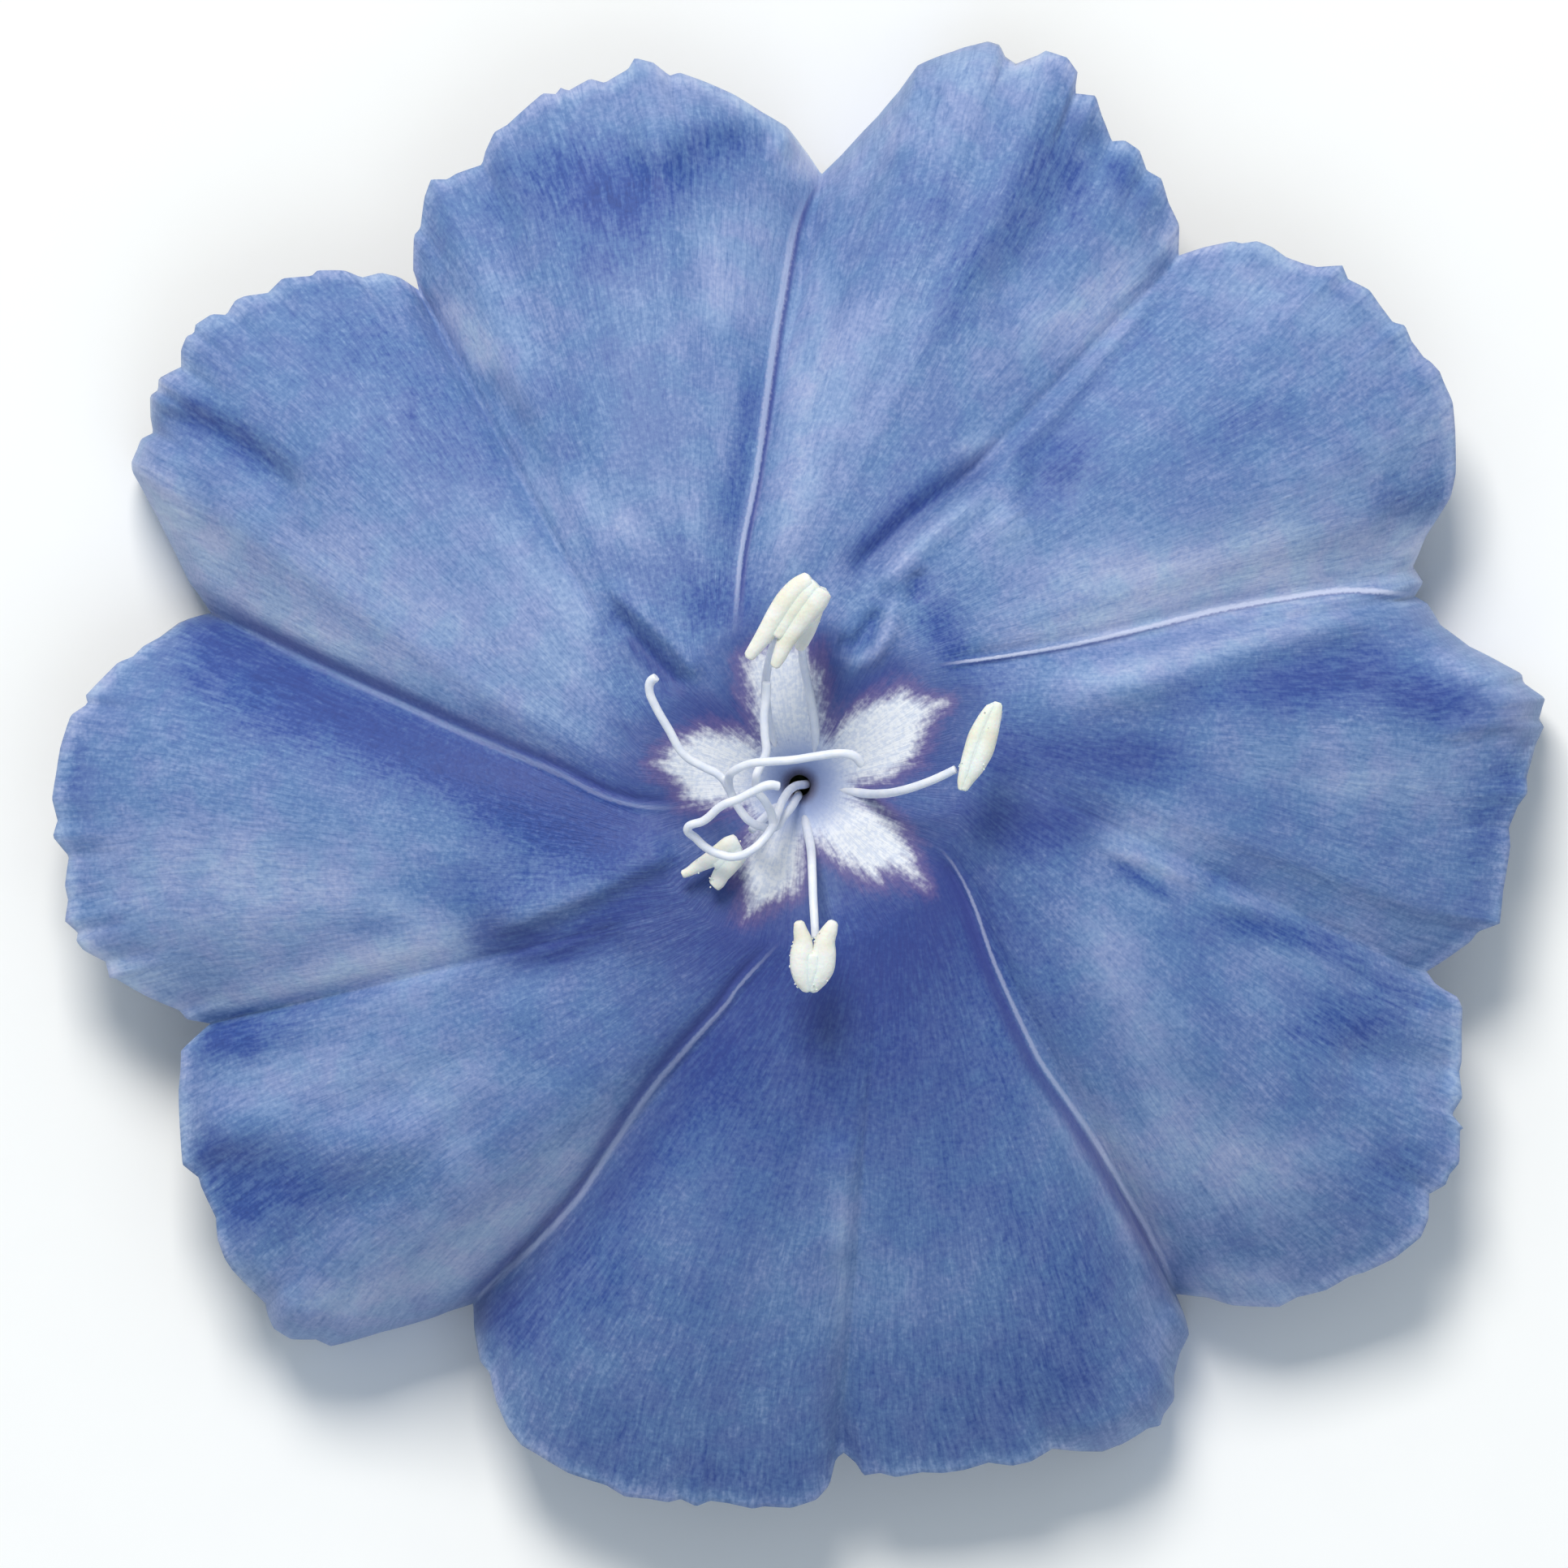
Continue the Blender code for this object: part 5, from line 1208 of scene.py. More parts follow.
def petal_finish():
    material, tree, shader = new_material("petal velvet", BLUES[2][1])
    flow = attribute(tree, "flow").outputs["Vector"]
    reach = add(tree, "ShaderNodeSeparateXYZ", Vector=flow).outputs["Z"]
    here = add(tree, "ShaderNodeTexCoord").outputs["Object"]

    def along_veins(turns, outwards, detail=2.0):
        mapping = add(tree, "ShaderNodeMapping", Vector=flow, Scale=(turns, turns, outwards))
        return add(tree, "ShaderNodeTexNoise", Vector=mapping.outputs[0], Scale=1.0,
                   Detail=detail, Roughness=0.6).outputs["Fac"]

    near, far = along_veins(*NEAR_DASHES), along_veins(*FAR_DASHES)
    outer = step(tree, reach, 4.0, 9.0)
    dashes = maths(tree, "ADD", maths(tree, "MULTIPLY", near, maths(tree, "SUBTRACT", 1.0, outer)),
                   maths(tree, "MULTIPLY", far, outer))
    broad = along_veins(*BROAD_STREAKS)
    hairlines = along_veins(*HAIRLINES, detail=1.0)
    cells = add(tree, "ShaderNodeTexNoise", Vector=here, Scale=CELLS, Detail=2.0).outputs["Fac"]
    patches = add(tree, "ShaderNodeTexNoise", Vector=here, Scale=PATCHES, Detail=3.0).outputs["Fac"]
    hues = add(tree, "ShaderNodeTexNoise", Vector=here, Scale=HUES, Detail=2.0).outputs["Fac"]

    # one reading from deep (0) over middle (0.5) to pale (1)
    # the stroked tone carries painted light and shade of folds and slopes as well as the blue's own tone
    mood = attribute(tree, "tone_and_shade").outputs["Fac"]
    reading = maths(tree, "MULTIPLY", mood, TONE_WEIGHT)
    streaky = maths(tree, "MULTIPLY", step(tree, mood, -0.7, 0.2, DASH_WEIGHT_DEEP, DASH_WEIGHT_PALE),
                    step(tree, reach, 2.5, 8.0, 0.45, 1.0))
    grain = maths(tree, "MULTIPLY", step(tree, reach, 2.5, 8.0, 0.85, 0.58),
                  step(tree, mood, -0.4, 0.4, 1.2, 0.75))
    for part, weight in ((dashes, streaky), (broad, BROAD_WEIGHT), (patches, PATCH_WEIGHT), (cells, grain)):
        swing = maths(tree, "MULTIPLY", maths(tree, "SUBTRACT", part, 0.5), weight)
        reading = maths(tree, "ADD", reading, swing)
    line = maths(tree, "ABSOLUTE", maths(tree, "SUBTRACT", hairlines, 0.47))
    reading = maths(tree, "SUBTRACT", reading, step(tree, line, 0.0, 0.03, HAIRLINE_DEPTH, 0.0))
    # paler near the rim, where the margin is thin: partly a painted sheen
    margin = step(tree, attribute(tree, "to_rim").outputs["Fac"], 0.06, 0.3, MARGIN_PALER, 0.0)
    reading = maths(tree, "ADD", maths(tree, "ADD", reading, MIDDLE_BLUE), margin)
    colour = ramp(tree, reading, BLUES)
    hue = blend(tree, step(tree, hues, 0.35, 0.65), LILAC_CAST, BLUE_CAST)
    colour = blend(tree, 1.0, colour, hue, "MULTIPLY")
    # violet zones: partly the petal's pigment, partly painted shade of valleys and of the funnel
    violet_and_shade = maths(tree, "MULTIPLY", attribute(tree, "violet_and_shade").outputs["Fac"],
                   step(tree, dashes, 0.2, 0.8, 0.95, 0.55))
    colour = blend(tree, violet_and_shade, colour, VIOLET_AND_SHADE_BLUE)

    # along each crease a pale lilac rib, partly a painted highlight, and a painted shade line on its right
    crease = attribute(tree, "crease").outputs["Fac"]
    widths = add(tree, "ShaderNodeSeparateXYZ",
                 Vector=attribute(tree, "crease_widths").outputs["Vector"]).outputs
    fuzz = maths(tree, "MULTIPLY", maths(tree, "SUBTRACT", cells, 0.5), 1.3)
    across = maths(tree, "ADD", maths(tree, "DIVIDE", maths(tree, "ABSOLUTE", crease), widths["X"]), fuzz)
    rib = maths(tree, "MULTIPLY", step(tree, across, 0.3, 1.25, 1.0, 0.0),
                attribute(tree, "crease_pale").outputs["Fac"])
    right_of = maths(tree, "DIVIDE", maths(tree, "SUBTRACT", maths(tree, "MULTIPLY", crease, -1.0), 0.02),
                     widths["Y"])
    dark = maths(tree, "MULTIPLY", step(tree, right_of, 0.0, 0.3), step(tree, right_of, 0.5, 1.3, 1.0, 0.0))
    colour = blend(tree, maths(tree, "MULTIPLY", dark, attribute(tree, "crease_dark").outputs["Fac"]),
                   colour, PAINTED_GROOVE_SHADE)
    colour = blend(tree, rib, colour, LILAC_RIB_HIGHLIGHT)

    rags = along_veins(*STAR_RAGS, detail=3.0)
    ragged = maths(tree, "MULTIPLY", maths(tree, "SUBTRACT", rags, 0.5), 0.42)
    grainy = maths(tree, "MULTIPLY", maths(tree, "SUBTRACT", cells, 0.5), 0.2)
    star = maths(tree, "ADD", attribute(tree, "star").outputs["Fac"], maths(tree, "ADD", ragged, grainy))
    # a violet ring round the star, partly pigment and partly painted shade of the funnel
    colour = blend(tree, step(tree, star, -0.85, -0.2, 0.0, 0.55), colour, VIOLET_AND_SHADE_BLUE)
    colour = blend(tree, step(tree, star, -0.3, -0.02, 0.0, 0.5), colour, FRINGE)
    colour = blend(tree, step(tree, star, -0.25, 0.02, 0.0, 0.25), colour, FRINGE_PINK)
    streaks = along_veins(*STAR_STREAKS)
    soft = maths(tree, "ADD", maths(tree, "MULTIPLY", cells, 0.55), maths(tree, "MULTIPLY", streaks, 0.45))
    white = blend(tree, step(tree, soft, 0.4, 0.58), STAR_SHADE, STAR_WHITE)
    colour = blend(tree, step(tree, star, -0.06, 0.26), colour, white)
    # painted shade of the funnel: blue-grey from the neck out to about a millimetre
    colour = blend(tree, step(tree, reach, 0.35, 1.05, 0.9, 0.0), colour, PAINTED_FUNNEL_SHADE)
    # painted shadow of the hole: a soft brownish dark ring
    colour = blend(tree, step(tree, reach, 0.2, 0.36, 0.8, 0.0), colour, PAINTED_HOLE_SHADOW)
    # pale paint inside the neck, a painted light that lifts the tube's own shade
    colour = blend(tree, step(tree, reach, 0.15, 0.19, 0.95, 0.0), colour, PAINTED_NECK_LIGHT)
    under = blend(tree, dashes, *UNDERSIDE)
    colour = blend(tree, attribute(tree, "below").outputs["Fac"], colour, under)

    dash_bump = add(tree, "ShaderNodeBump", Height=dashes, Strength=0.35, Distance=0.00003)
    cell_bump = add(tree, "ShaderNodeBump", Height=cells, Strength=0.35, Distance=0.00002,
                    Normal=dash_bump.outputs[0])
    tree.links.new(colour, shader.inputs["Base Color"])
    tree.links.new(cell_bump.outputs[0], shader.inputs["Normal"])
    shader.inputs["Roughness"].default_value = 0.58
    shader.inputs["Specular IOR Level"].default_value = 0.45
    shader.inputs["Sheen Weight"].default_value = 0.22
    shader.inputs["Sheen Roughness"].default_value = 0.45
    shader.inputs["Sheen Tint"].default_value = SHEEN_BLUE
    return material


petals.data.materials.clear()
petals.data.materials.append(petal_finish())
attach(petals, "root")
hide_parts("corolla")
print("petals ride on root")

# %% [markdown]
# ## Threads
#
# Filaments and stigma threads are soft round strands. A Bezier curve with a round bevel is a thread
# that a hand can bend point by point, and it becomes a mesh once it is right.

# %% Thread helper
THREAD_RADIUS = 0.07
FILAMENT_TAPER = (1.12, 0.92)
STIGMA_TIPS = (1.12, 1.05)
STYLE_VOXEL = 0.016


def thread(name, points, radii, sides=4, resolution=8):
    """A round strand through points in mm round the throat, as a mesh in the frame."""
    bpy.ops.object.select_all(action="DESELECT")
    bpy.ops.curve.primitive_bezier_curve_add(radius=1.0, location=(0.0, 0.0, 0.0))
    strand = bpy.context.object
    strand.name = name
    curve = strand.data
    curve.splines.clear()
    spline = curve.splines.new("BEZIER")
    spline.bezier_points.add(len(points) - 1)
    for knot, place, radius in zip(spline.bezier_points, to_row(points), radii):
        knot.co = place
        knot.radius = radius
        knot.handle_left_type = "AUTO"
        knot.handle_right_type = "AUTO"
    curve.bevel_depth = MM
    curve.bevel_resolution = sides
    curve.resolution_u = resolution
    curve.use_fill_caps = True
    bpy.ops.object.convert(target="MESH")
    strand = bpy.context.object
    bpy.ops.object.mode_set(mode="EDIT")
    bpy.ops.mesh.select_all(action="SELECT")
    bpy.ops.mesh.remove_doubles(threshold=1e-7)
    bpy.ops.mesh.normals_make_consistent(inside=False)
    bpy.ops.object.mode_set(mode="OBJECT")
    bpy.ops.object.shade_smooth()
    return strand


def join(name, pieces):
    bpy.ops.object.select_all(action="DESELECT")
    for piece in pieces:
        piece.select_set(True)
    bpy.context.view_layer.objects.active = pieces[0]
    if len(pieces) > 1:
        bpy.ops.object.join()
    pieces[0].name = name
    return pieces[0]


def fuse(obj, voxel, smoothing):
    """Melts overlapping closed shapes into one skin, and smooths what the voxels left."""
    bpy.ops.object.select_all(action="DESELECT")
    obj.select_set(True)
    bpy.context.view_layer.objects.active = obj
    remesh = obj.modifiers.new("fuse", "REMESH")
    remesh.mode = "VOXEL"
    remesh.voxel_size = voxel * MM
    bpy.ops.object.modifier_apply(modifier=remesh.name)
    smooth = obj.modifiers.new("smooth", "SMOOTH")
    smooth.factor = 0.5
    smooth.iterations = smoothing
    bpy.ops.object.modifier_apply(modifier=smooth.name)
    bpy.ops.object.shade_smooth()
    return obj


def finish_piece(obj, material, node):
    obj.data.materials.clear()
    obj.data.materials.append(material)
    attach(obj, "root")
    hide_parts(node)


# %% Finish of the threads
def thread_finish(name, colour, shade):
    material, tree, shader = new_material(name, colour)
    here = add(tree, "ShaderNodeTexCoord").outputs["Object"]
    mottle = add(tree, "ShaderNodeTexNoise", Vector=here, Scale=6000.0, Detail=3.0).outputs["Fac"]
    tree.links.new(blend(tree, step(tree, mottle, 0.3, 0.75), shade, colour), shader.inputs["Base Color"])
    bump = add(tree, "ShaderNodeBump", Height=mottle, Strength=0.3, Distance=0.00002)
    tree.links.new(bump.outputs[0], shader.inputs["Normal"])
    shader.inputs["Roughness"].default_value = 0.42
    shader.inputs["Subsurface Weight"].default_value = 0.35
    shader.inputs["Subsurface Radius"].default_value = (0.7, 0.8, 1.0)
    shader.inputs["Subsurface Scale"].default_value = 0.0001
    return material


thread_white = thread_finish("thread white", (0.84, 0.855, 0.92), (0.74, 0.775, 0.88))

# %% Filaments
FILAMENTS = (
    ((0.37, -0.03, 4.3), (0.52, -0.05, 4.82), (0.76, -0.08, 5.13), (1.0, -0.12, 5.42), (1.26, -0.13, 5.9),
     (1.61, -0.08, 6.5), (1.99, 0.04, 6.8), (2.29, 0.17, 6.97), (2.47, 0.26, 7.05)),
    ((0.05, -0.37, 4.3), (0.08, -0.52, 4.85), (0.13, -0.74, 5.28), (0.18, -1.0, 5.78), (0.2, -1.35, 6.3),
     (0.22, -1.87, 6.65), (0.24, -2.2, 6.78), (0.25, -2.42, 6.8)),
    ((-0.27, -0.24, 4.3), (-0.38, -0.34, 4.85), (-0.48, -0.44, 5.22), (-0.6, -0.55, 5.65),
     (-0.76, -0.7, 5.95)),
    ((-0.22, 0.32, 4.3), (-0.31, 0.44, 4.8), (-0.4, 0.64, 5.1), (-0.47, 0.92, 5.4), (-0.52, 1.25, 5.85),
     (-0.54, 1.55, 6.35), (-0.51, 1.85, 6.8), (-0.45, 2.12, 7.15), (-0.38, 2.36, 7.42)),
    ((0.15, 0.33, 4.3), (0.22, 0.47, 4.8), (0.26, 0.7, 5.13), (0.24, 1.0, 5.42), (0.19, 1.33, 5.62),
     (0.13, 1.62, 5.85), (0.06, 1.95, 6.3), (0.03, 2.3, 6.85)),
)
for number, route in enumerate(FILAMENTS, 1):
    radii = np.linspace(*FILAMENT_TAPER, len(route)) * THREAD_RADIUS
    filament = thread(f"filament_{number}_thread", route, radii)
    finish_piece(filament, thread_white, f"filament_{number}")
print("filaments:", len(FILAMENTS))

# %% Styles and their stigma threads
STYLES = (
    (
        ((-0.06, -0.11, 3.32), (-0.02, -0.16, 4.3), (-0.06, -0.22, 5.0), (-0.13, -0.34, 5.55),
         (-0.26, -0.5, 5.95), (-0.39, -0.66, 6.2), (-0.58, -0.66, 6.35), (-0.78, -0.57, 6.42),
         (-0.92, -0.42, 6.5), (-1.04, -0.22, 6.6), (-1.12, -0.05, 6.7), (-1.27, 0.16, 6.8),
         (-1.53, 0.3, 6.85), (-1.82, 0.48, 6.9), (-2.08, 0.9, 7.0), (-2.3, 1.29, 7.1),
         (-2.38, 1.5, 7.15), (-2.36, 1.65, 7.2), (-2.27, 1.72, 7.25)),
        ((-1.11, -0.08, 6.69), (-1.12, 0.13, 6.9), (-1.03, 0.24, 7.15), (-0.77, 0.35, 7.35),
         (-0.48, 0.38, 7.45), (-0.09, 0.41, 7.5), (0.29, 0.47, 7.5), (0.65, 0.51, 7.45),
         (0.86, 0.47, 7.4), (0.99, 0.33, 7.3)),
    ),
    (
        ((0.1, 0.03, 3.32), (0.1, 0.02, 4.3), (-0.09, -0.02, 5.0), (-0.25, -0.2, 5.75),
         (-0.35, -0.44, 6.3), (-0.43, -0.65, 6.6), (-0.56, -0.84, 6.7), (-0.77, -1.03, 6.75),
         (-1.03, -1.13, 6.72), (-1.23, -1.1, 6.68), (-1.46, -1.0, 6.68), (-1.64, -0.84, 6.75),
         (-1.78, -0.68, 6.9), (-1.51, -0.55, 7.05), (-1.22, -0.31, 7.2), (-0.96, -0.21, 7.25),
         (-0.71, -0.08, 7.3), (-0.48, 0.01, 7.3), (-0.32, -0.01, 7.25)),
        ((-0.42, -0.62, 6.57), (-0.45, -0.44, 6.66), (-0.56, -0.23, 6.76), (-0.66, -0.1, 6.85),
         (-0.69, 0.13, 6.9), (-0.61, 0.33, 6.9), (-0.53, 0.53, 6.92), (-0.55, 0.79, 6.95),
         (-0.56, 1.16, 7.0), (-0.53, 1.43, 7.05), (-0.52, 1.64, 7.12)),
    ),
)
for number, routes in enumerate(STYLES, 1):
    strands = []
    for route in routes:
        radii = [THREAD_RADIUS] * (len(route) - 2) + [tip * THREAD_RADIUS for tip in STIGMA_TIPS]
        strands.append(thread(f"style_{number}_strand", route, radii))
    style = fuse(join(f"style_{number}_threads", strands), STYLE_VOXEL, 3)
    finish_piece(style, thread_white, f"style_{number}")
    print(style.name, len(style.data.polygons), "faces")

# %% [markdown]
# ## Anthers
#
# Each stamen ends in an anther of two pollen sacs side by side, drawn out at the foot into two
# prongs. A sac is a strand with its own radius at every point, and a third strand joins the two. All
# are fused like wax, which leaves a shallow furrow, and a few grains of pollen are fused on too.

# %% Anthers
ANTHERS = (
    # the node's number, the height at the tip and at the foot, and two sacs of (pixel, pixel, radius)
    (1, 7.2, 7.2,
     ((1227, 866, 6), (1222, 882, 10), (1215, 903, 13), (1208, 925, 14), (1198, 946, 12), (1190, 961, 8),
      (1184, 974, 5)),
     ((1221, 870, 7), (1211, 888, 10), (1202, 908, 12), (1195, 928, 11), (1189, 948, 10), (1184, 963, 7),
      (1182, 974, 4))),
    (2, 6.9, 7.05,
     ((997, 1219, 7), (991, 1204, 13), (988, 1190, 15), (988, 1172, 15), (989, 1158, 12),
      (986, 1145, 9), (984, 1133, 6)),
     ((998, 1219, 7), (1006, 1204, 13), (1013, 1190, 15), (1015, 1172, 15), (1016, 1158, 13),
      (1022, 1144, 10), (1027, 1133, 6))),
    (3, 6.12, 6.12,
     ((912, 1038, 13), (900, 1044, 15), (887, 1052, 13), (873, 1060, 10), (860, 1067, 8), (850, 1073, 6),
      (841, 1077, 5)),
     ((912, 1048, 13), (903, 1057, 15), (896, 1067, 13), (889, 1077, 11), (884, 1086, 10),
      (879, 1091, 8))),
    (4, 7.85, 7.7,
     ((1000, 717, 12), (984, 727, 14), (969, 744, 15), (957, 762, 14), (945, 781, 12), (932, 799, 9),
      (922, 813, 7)),
     ((1013, 728, 14), (1004, 743, 16), (991, 759, 15), (979, 776, 13), (968, 793, 11), (960, 811, 9),
      (954, 824, 6))),
    (5, 6.95, 6.9,
     ((1012, 725, 9), (1006, 742, 12), (1000, 760, 12), (994, 778, 11), (988, 793, 9), (984, 803, 6)),
     ((1004, 722, 9), (996, 742, 12), (988, 762, 12), (982, 780, 10), (978, 792, 7))),
)
FLATTENED = 0.8
JOINED_POINTS = {1: 6, 2: 4, 3: 4, 4: 5, 5: 4}
JOINT_SINKS = 0.01
ANTHER_VOXEL = 0.014
GRAIN_RADIUS = 0.022
GRAINS = {1: 14, 2: 40, 3: 12, 4: 16, 5: 6}


def pollen_grains(number, sacs, level):
    """Small balls stuck to the outer sides of the sacs."""
    dice = random.Random(number)
    grains = []
    for _ in range(GRAINS[number]):
        x, y, size = dice.choice(dice.choice(sacs)[1:5])
        turn = dice.uniform(0.0, 2.0 * math.pi)
        across, up = plan((x + size * math.cos(turn), y + size * math.sin(turn)))
        place = to_row((across, up, level + dice.uniform(-0.1, 0.12)))
        bpy.ops.mesh.primitive_ico_sphere_add(subdivisions=1, radius=GRAIN_RADIUS * MM, location=place)
        bpy.ops.object.transform_apply(location=True, rotation=True, scale=True)
        grains.append(bpy.context.object)
    return grains


def anther(number, tip_level, foot_level, *sacs):
    """Two sacs, the strand that joins their upper parts, and the grains, fused into one body."""
    strands = []
    for sac in sacs:
        levels = np.linspace(tip_level, foot_level, len(sac))
        points = [(*plan((x, y)), level) for (x, y, _), level in zip(sac, levels)]
        radii = [size * MM_PER_PIXEL for _, _, size in sac]
        strands.append(thread("sac", points, radii, sides=5, resolution=6))
    joined = JOINED_POINTS[number]
    levels = np.linspace(tip_level, foot_level, len(sacs[0]))[:joined] - JOINT_SINKS
    middles = [(np.array(left) + np.array(right)) / 2 for left, right in zip(*sacs)][:joined]
    points = [(*plan(middle[:2]), level) for middle, level in zip(middles, levels)]
    strands.append(thread("joint", points, [middle[2] * MM_PER_PIXEL for middle in middles],
                          sides=5, resolution=6))
    body = join(f"anther_{number}_sacs", strands)
    level = (tip_level + foot_level) / 2
    bpy.ops.object.mode_set(mode="EDIT")
    bpy.ops.mesh.select_all(action="SELECT")
    bpy.ops.transform.resize(value=(1.0, 1.0, FLATTENED), center_override=(0.0, 0.0, level * MM))
    bpy.ops.object.mode_set(mode="OBJECT")
    body = join(body.name, [body] + pollen_grains(number, sacs, level))
    return fuse(body, ANTHER_VOXEL, 2)


def anther_finish():
    material, tree, shader = new_material("pollen cream", (0.85, 0.84, 0.7))
    here = add(tree, "ShaderNodeTexCoord").outputs["Object"]
    mottle = add(tree, "ShaderNodeTexNoise", Vector=here, Scale=2200.0, Detail=3.0).outputs["Fac"]
    fine = add(tree, "ShaderNodeTexNoise", Vector=here, Scale=16000.0, Detail=2.0).outputs["Fac"]
    colour = blend(tree, step(tree, mottle, 0.35, 0.7), (0.87, 0.87, 0.83), (0.8, 0.78, 0.66))
    tree.links.new(colour, shader.inputs["Base Color"])
    bump = add(tree, "ShaderNodeBump", Height=fine, Strength=0.5, Distance=0.00002)
    tree.links.new(bump.outputs[0], shader.inputs["Normal"])
    shader.inputs["Roughness"].default_value = 0.65
    shader.inputs["Subsurface Weight"].default_value = 0.2
    shader.inputs["Subsurface Scale"].default_value = 0.0001
    return material


pollen_cream = anther_finish()
for row in ANTHERS:
    piece = anther(*row)
    finish_piece(piece, pollen_cream, f"anther_{row[0]}")
    print(piece.name, len(piece.data.polygons), "faces")

# %% [markdown]
# ## Ovary, calyx and stalk
#
# They are hidden from above, but a picked bloom is turned over. The ovary is a small egg in the
# tube. Five narrow sepals clasp the tube from outside, and the stalk carries all of it.

# %% Green finish
def green_finish(name, dark, light, along):
    material, tree, shader = new_material(name, dark)
    here = add(tree, "ShaderNodeTexCoord").outputs["Object"]
    mapping = add(tree, "ShaderNodeMapping", Vector=here, Scale=(1.0, 1.0, along))
    streaks = add(tree, "ShaderNodeTexNoise", Vector=mapping.outputs[0], Scale=5200.0,
                  Detail=3.0).outputs["Fac"]
    tree.links.new(blend(tree, step(tree, streaks, 0.3, 0.7), dark, light), shader.inputs["Base Color"])
    bump = add(tree, "ShaderNodeBump", Height=streaks, Strength=0.4, Distance=0.00003)
    tree.links.new(bump.outputs[0], shader.inputs["Normal"])
    shader.inputs["Roughness"].default_value = 0.55
    shader.inputs["Sheen Weight"].default_value = 0.3
    shader.inputs["Sheen Roughness"].default_value = 0.4
    return material


leaf_green = green_finish("calyx green", (0.1, 0.2, 0.045), (0.22, 0.36, 0.11), 0.3)
ovary_green = green_finish("ovary green", (0.3, 0.4, 0.12), (0.5, 0.58, 0.28), 1.0)

# %% Ovary
FURROW_DEPTH = 0.08
FURROW_WIDTH = 14.0
FURROW_TURN = 20.0
TOP_NARROWER = 0.16

bpy.ops.object.select_all(action="DESELECT")
low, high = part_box("ovary")
bpy.ops.mesh.primitive_uv_sphere_add(segments=48, ring_count=32, radius=1.0, location=(low + high) / 2)
ovary = bpy.context.object
ovary.name = "ovary_egg"
ovary.scale = (high - low) / 2
bpy.ops.object.transform_apply(location=True, rotation=True, scale=True)
egg = points_of(ovary)
middle = np.array((low + high) / 2)
lift = (egg[:, 2] - middle[2]) / (high.z - low.z)
turn = np.degrees(np.arctan2(egg[:, 1] - middle[1], egg[:, 0] - middle[0]))
furrow = FURROW_DEPTH * bell((turn + FURROW_TURN) % 180.0 - 90.0, FURROW_WIDTH)
narrower = 1.0 - furrow - TOP_NARROWER * np.maximum(lift, 0.0)
egg[:, :2] = middle[:2] + (egg[:, :2] - middle[:2]) * narrower[:, None]
place_points(ovary, egg)
bpy.ops.object.shade_smooth()
finish_piece(ovary, ovary_green, "ovary")

# %% Sepals
SEPAL = ((1.3, 1.7, 0.42), (1.62, 2.1, 0.66), (1.72, 2.8, 0.78), (1.7, 3.5, 0.7),
         (1.88, 4.0, 0.52), (2.3, 4.33, 0.3), (2.85, 4.48, 0.07))
SEPAL_THICK = 0.3
FIRST_SEPAL_DEG = 54.0
SEPALS = 5
SEPAL_ROWS = 40
SEPAL_COLUMNS = 16
KEEL = 0.1
KEEL_WIDTH = 0.16
KEEL_STARTS = (0.0, 0.3)
VEINS = 0.012
VEINS_PER_TURN = 22.0
VEINS_START = (0.1, 0.4)
VEINS_END = (0.0, 0.3)


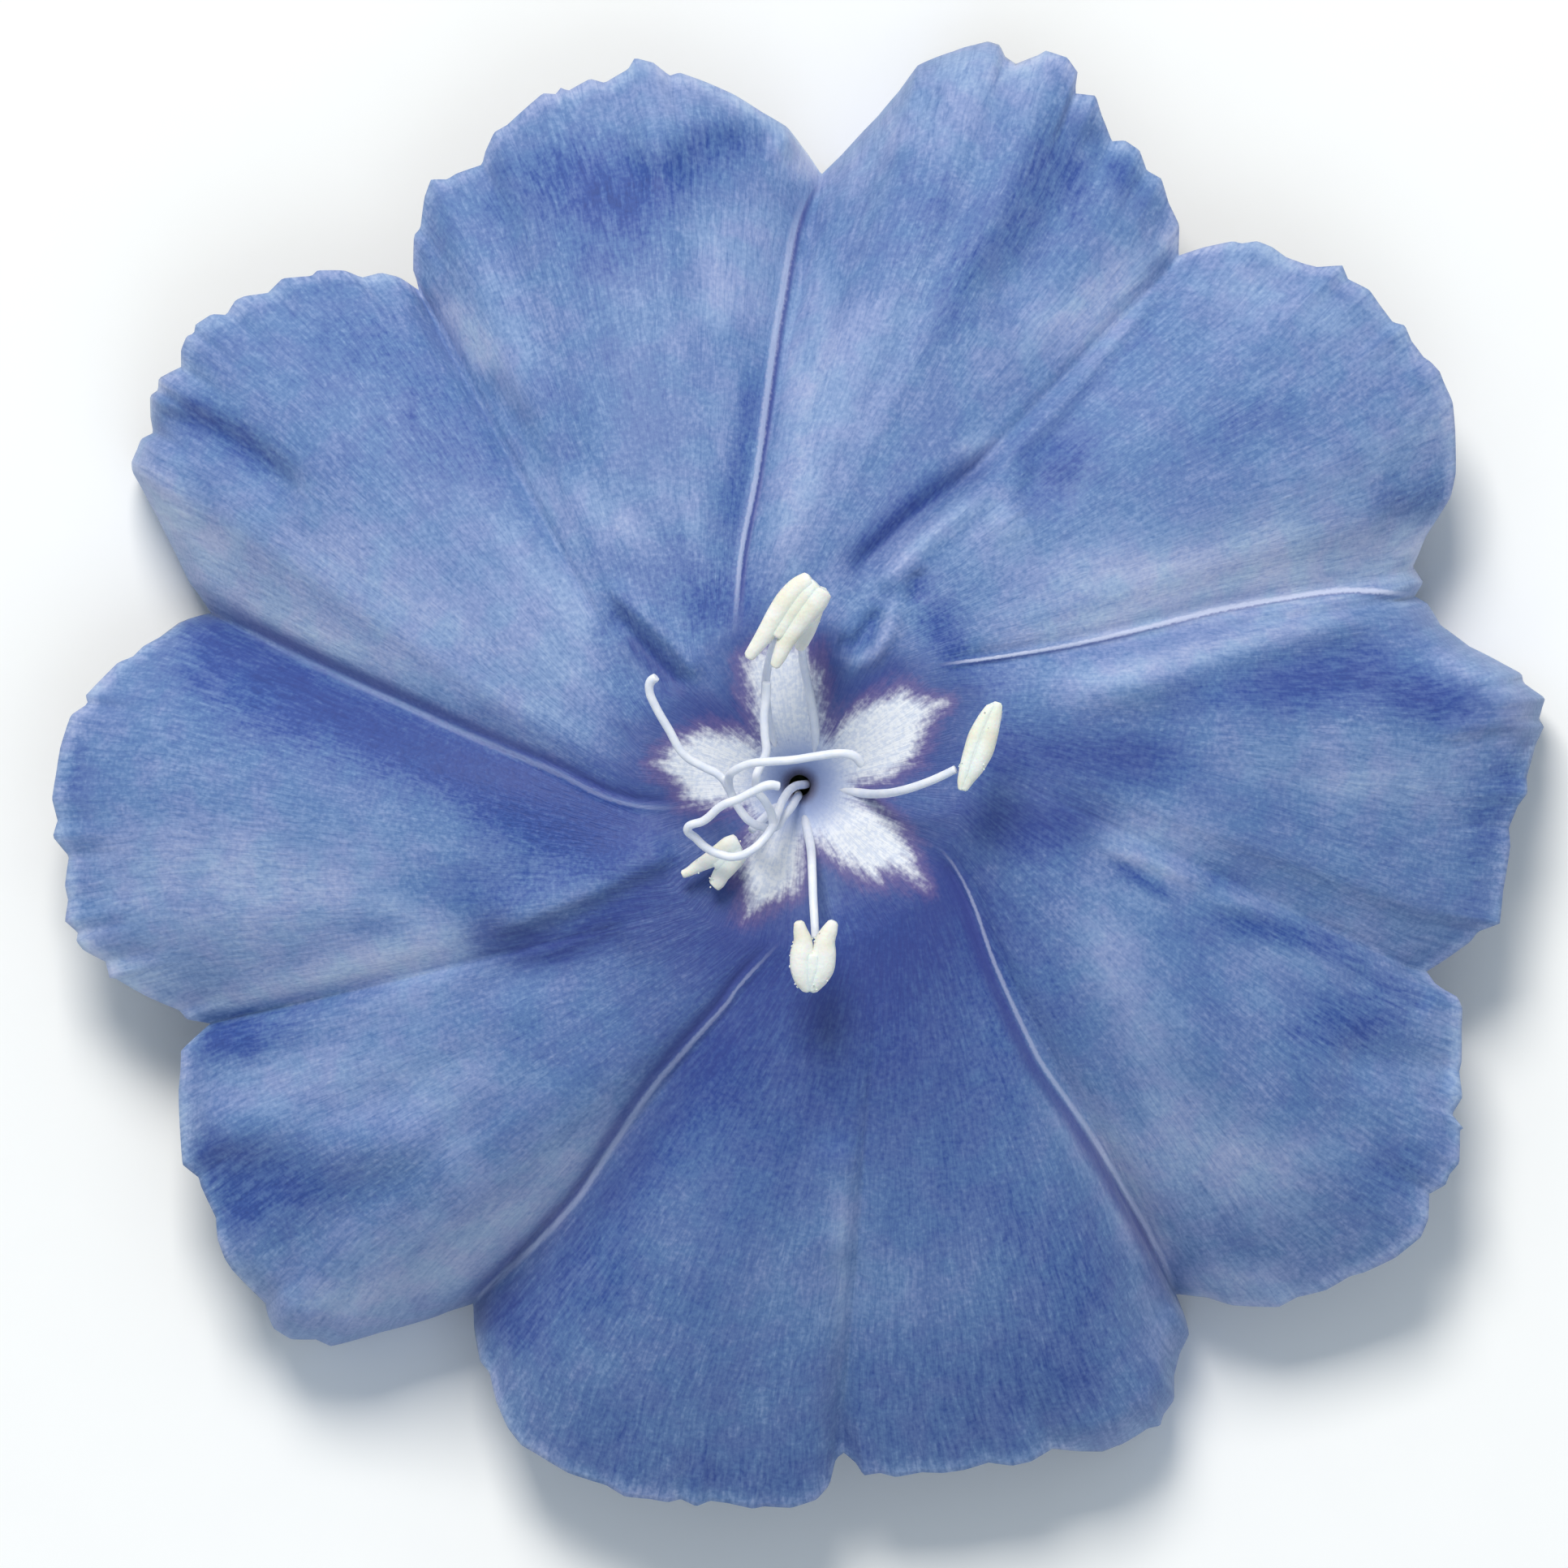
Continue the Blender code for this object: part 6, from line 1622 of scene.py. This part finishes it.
def first_sepal():
    """A grid bent into a keeled blade that clasps the tube, then given its thickness."""
    bpy.ops.object.select_all(action="DESELECT")
    bpy.ops.mesh.primitive_grid_add(x_subdivisions=SEPAL_COLUMNS, y_subdivisions=SEPAL_ROWS, size=2.0)
    blade = bpy.context.object
    blade.name = "sepal_1_blade"
    flat = points_of(blade)
    side, up = flat[:, 0], (flat[:, 1] + 1.0) / 2.0
    radius, height, half = (smooth_through(np.arange(len(SEPAL)), column, up * (len(SEPAL) - 1))
                            for column in np.array(SEPAL).T)
    keel = KEEL * bell(side, KEEL_WIDTH) * ease(*KEEL_STARTS, up)
    veins = VEINS * np.cos(side * VEINS_PER_TURN) * ease(*VEINS_START, up) * ease(*VEINS_END, 1.0 - up)
    turn = math.radians(FIRST_SEPAL_DEG) + side * half / radius
    reach = radius + keel + veins
    place_points(blade, to_row(np.c_[reach * np.cos(turn), reach * np.sin(turn), height]))
    bpy.ops.object.mode_set(mode="EDIT")
    bpy.ops.mesh.select_all(action="SELECT")
    bpy.ops.mesh.normals_make_consistent(inside=False)
    bpy.ops.object.mode_set(mode="OBJECT")
    wall = blade.modifiers.new("wall", "SOLIDIFY")
    wall.thickness = SEPAL_THICK * MM
    wall.offset = 0.0
    bpy.ops.object.modifier_apply(modifier=wall.name)
    bpy.ops.object.shade_smooth()
    return blade


def next_sepal(blade, number):
    """A copy of a blade with its own mesh, turned round the throat by a fifth of a circle."""
    bpy.ops.object.select_all(action="DESELECT")
    blade.select_set(True)
    bpy.context.view_layer.objects.active = blade
    bpy.ops.object.duplicate(linked=False)
    copy = bpy.context.object
    copy.name = f"sepal_{number}_blade"
    right, up, height = (points_of(copy) / MM - THROAT).T
    turn = 2.0 * math.pi / SEPALS
    turned_right = right * math.cos(turn) - up * math.sin(turn)
    turned_up = right * math.sin(turn) + up * math.cos(turn)
    place_points(copy, to_row(np.c_[turned_right, turned_up, height]))
    return copy


blades = [first_sepal()]
for number in range(2, SEPALS + 1):
    blades.append(next_sepal(blades[-1], number))
for number, blade in enumerate(blades, 1):
    finish_piece(blade, leaf_green, f"sepal_{number}")
print("sepals:", SEPALS)

# %% Stalk
STALK = ((0.35, 0.3), (0.45, 0.34), (0.9, 0.33), (1.25, 0.4), (1.5, 0.62), (1.75, 0.88),
         (2.05, 0.98), (2.2, 0.96), (2.27, 0.85))
STALK_LEAN = 0.12
top = STALK[-1][0]
route = [(STALK_LEAN * (top - height) ** 2, 0.0, height) for height, _ in STALK]
stalk = thread("stalk_cut", route, [radius for _, radius in STALK], sides=12, resolution=6)
finish_piece(stalk, leaf_green, "stalk")
print(stalk.name, len(stalk.data.polygons), "faces")

# %% [markdown]
# ## Sizes
#
# The box that the dressed bloom fills is worked out and printed. The dressed bloom has to
# stay within the box of the frame's solids.

# %% Box of the dressed bloom
low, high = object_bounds()
print("visual box in mm:", [round(1000 * v, 2) for v in (*low, *high)])
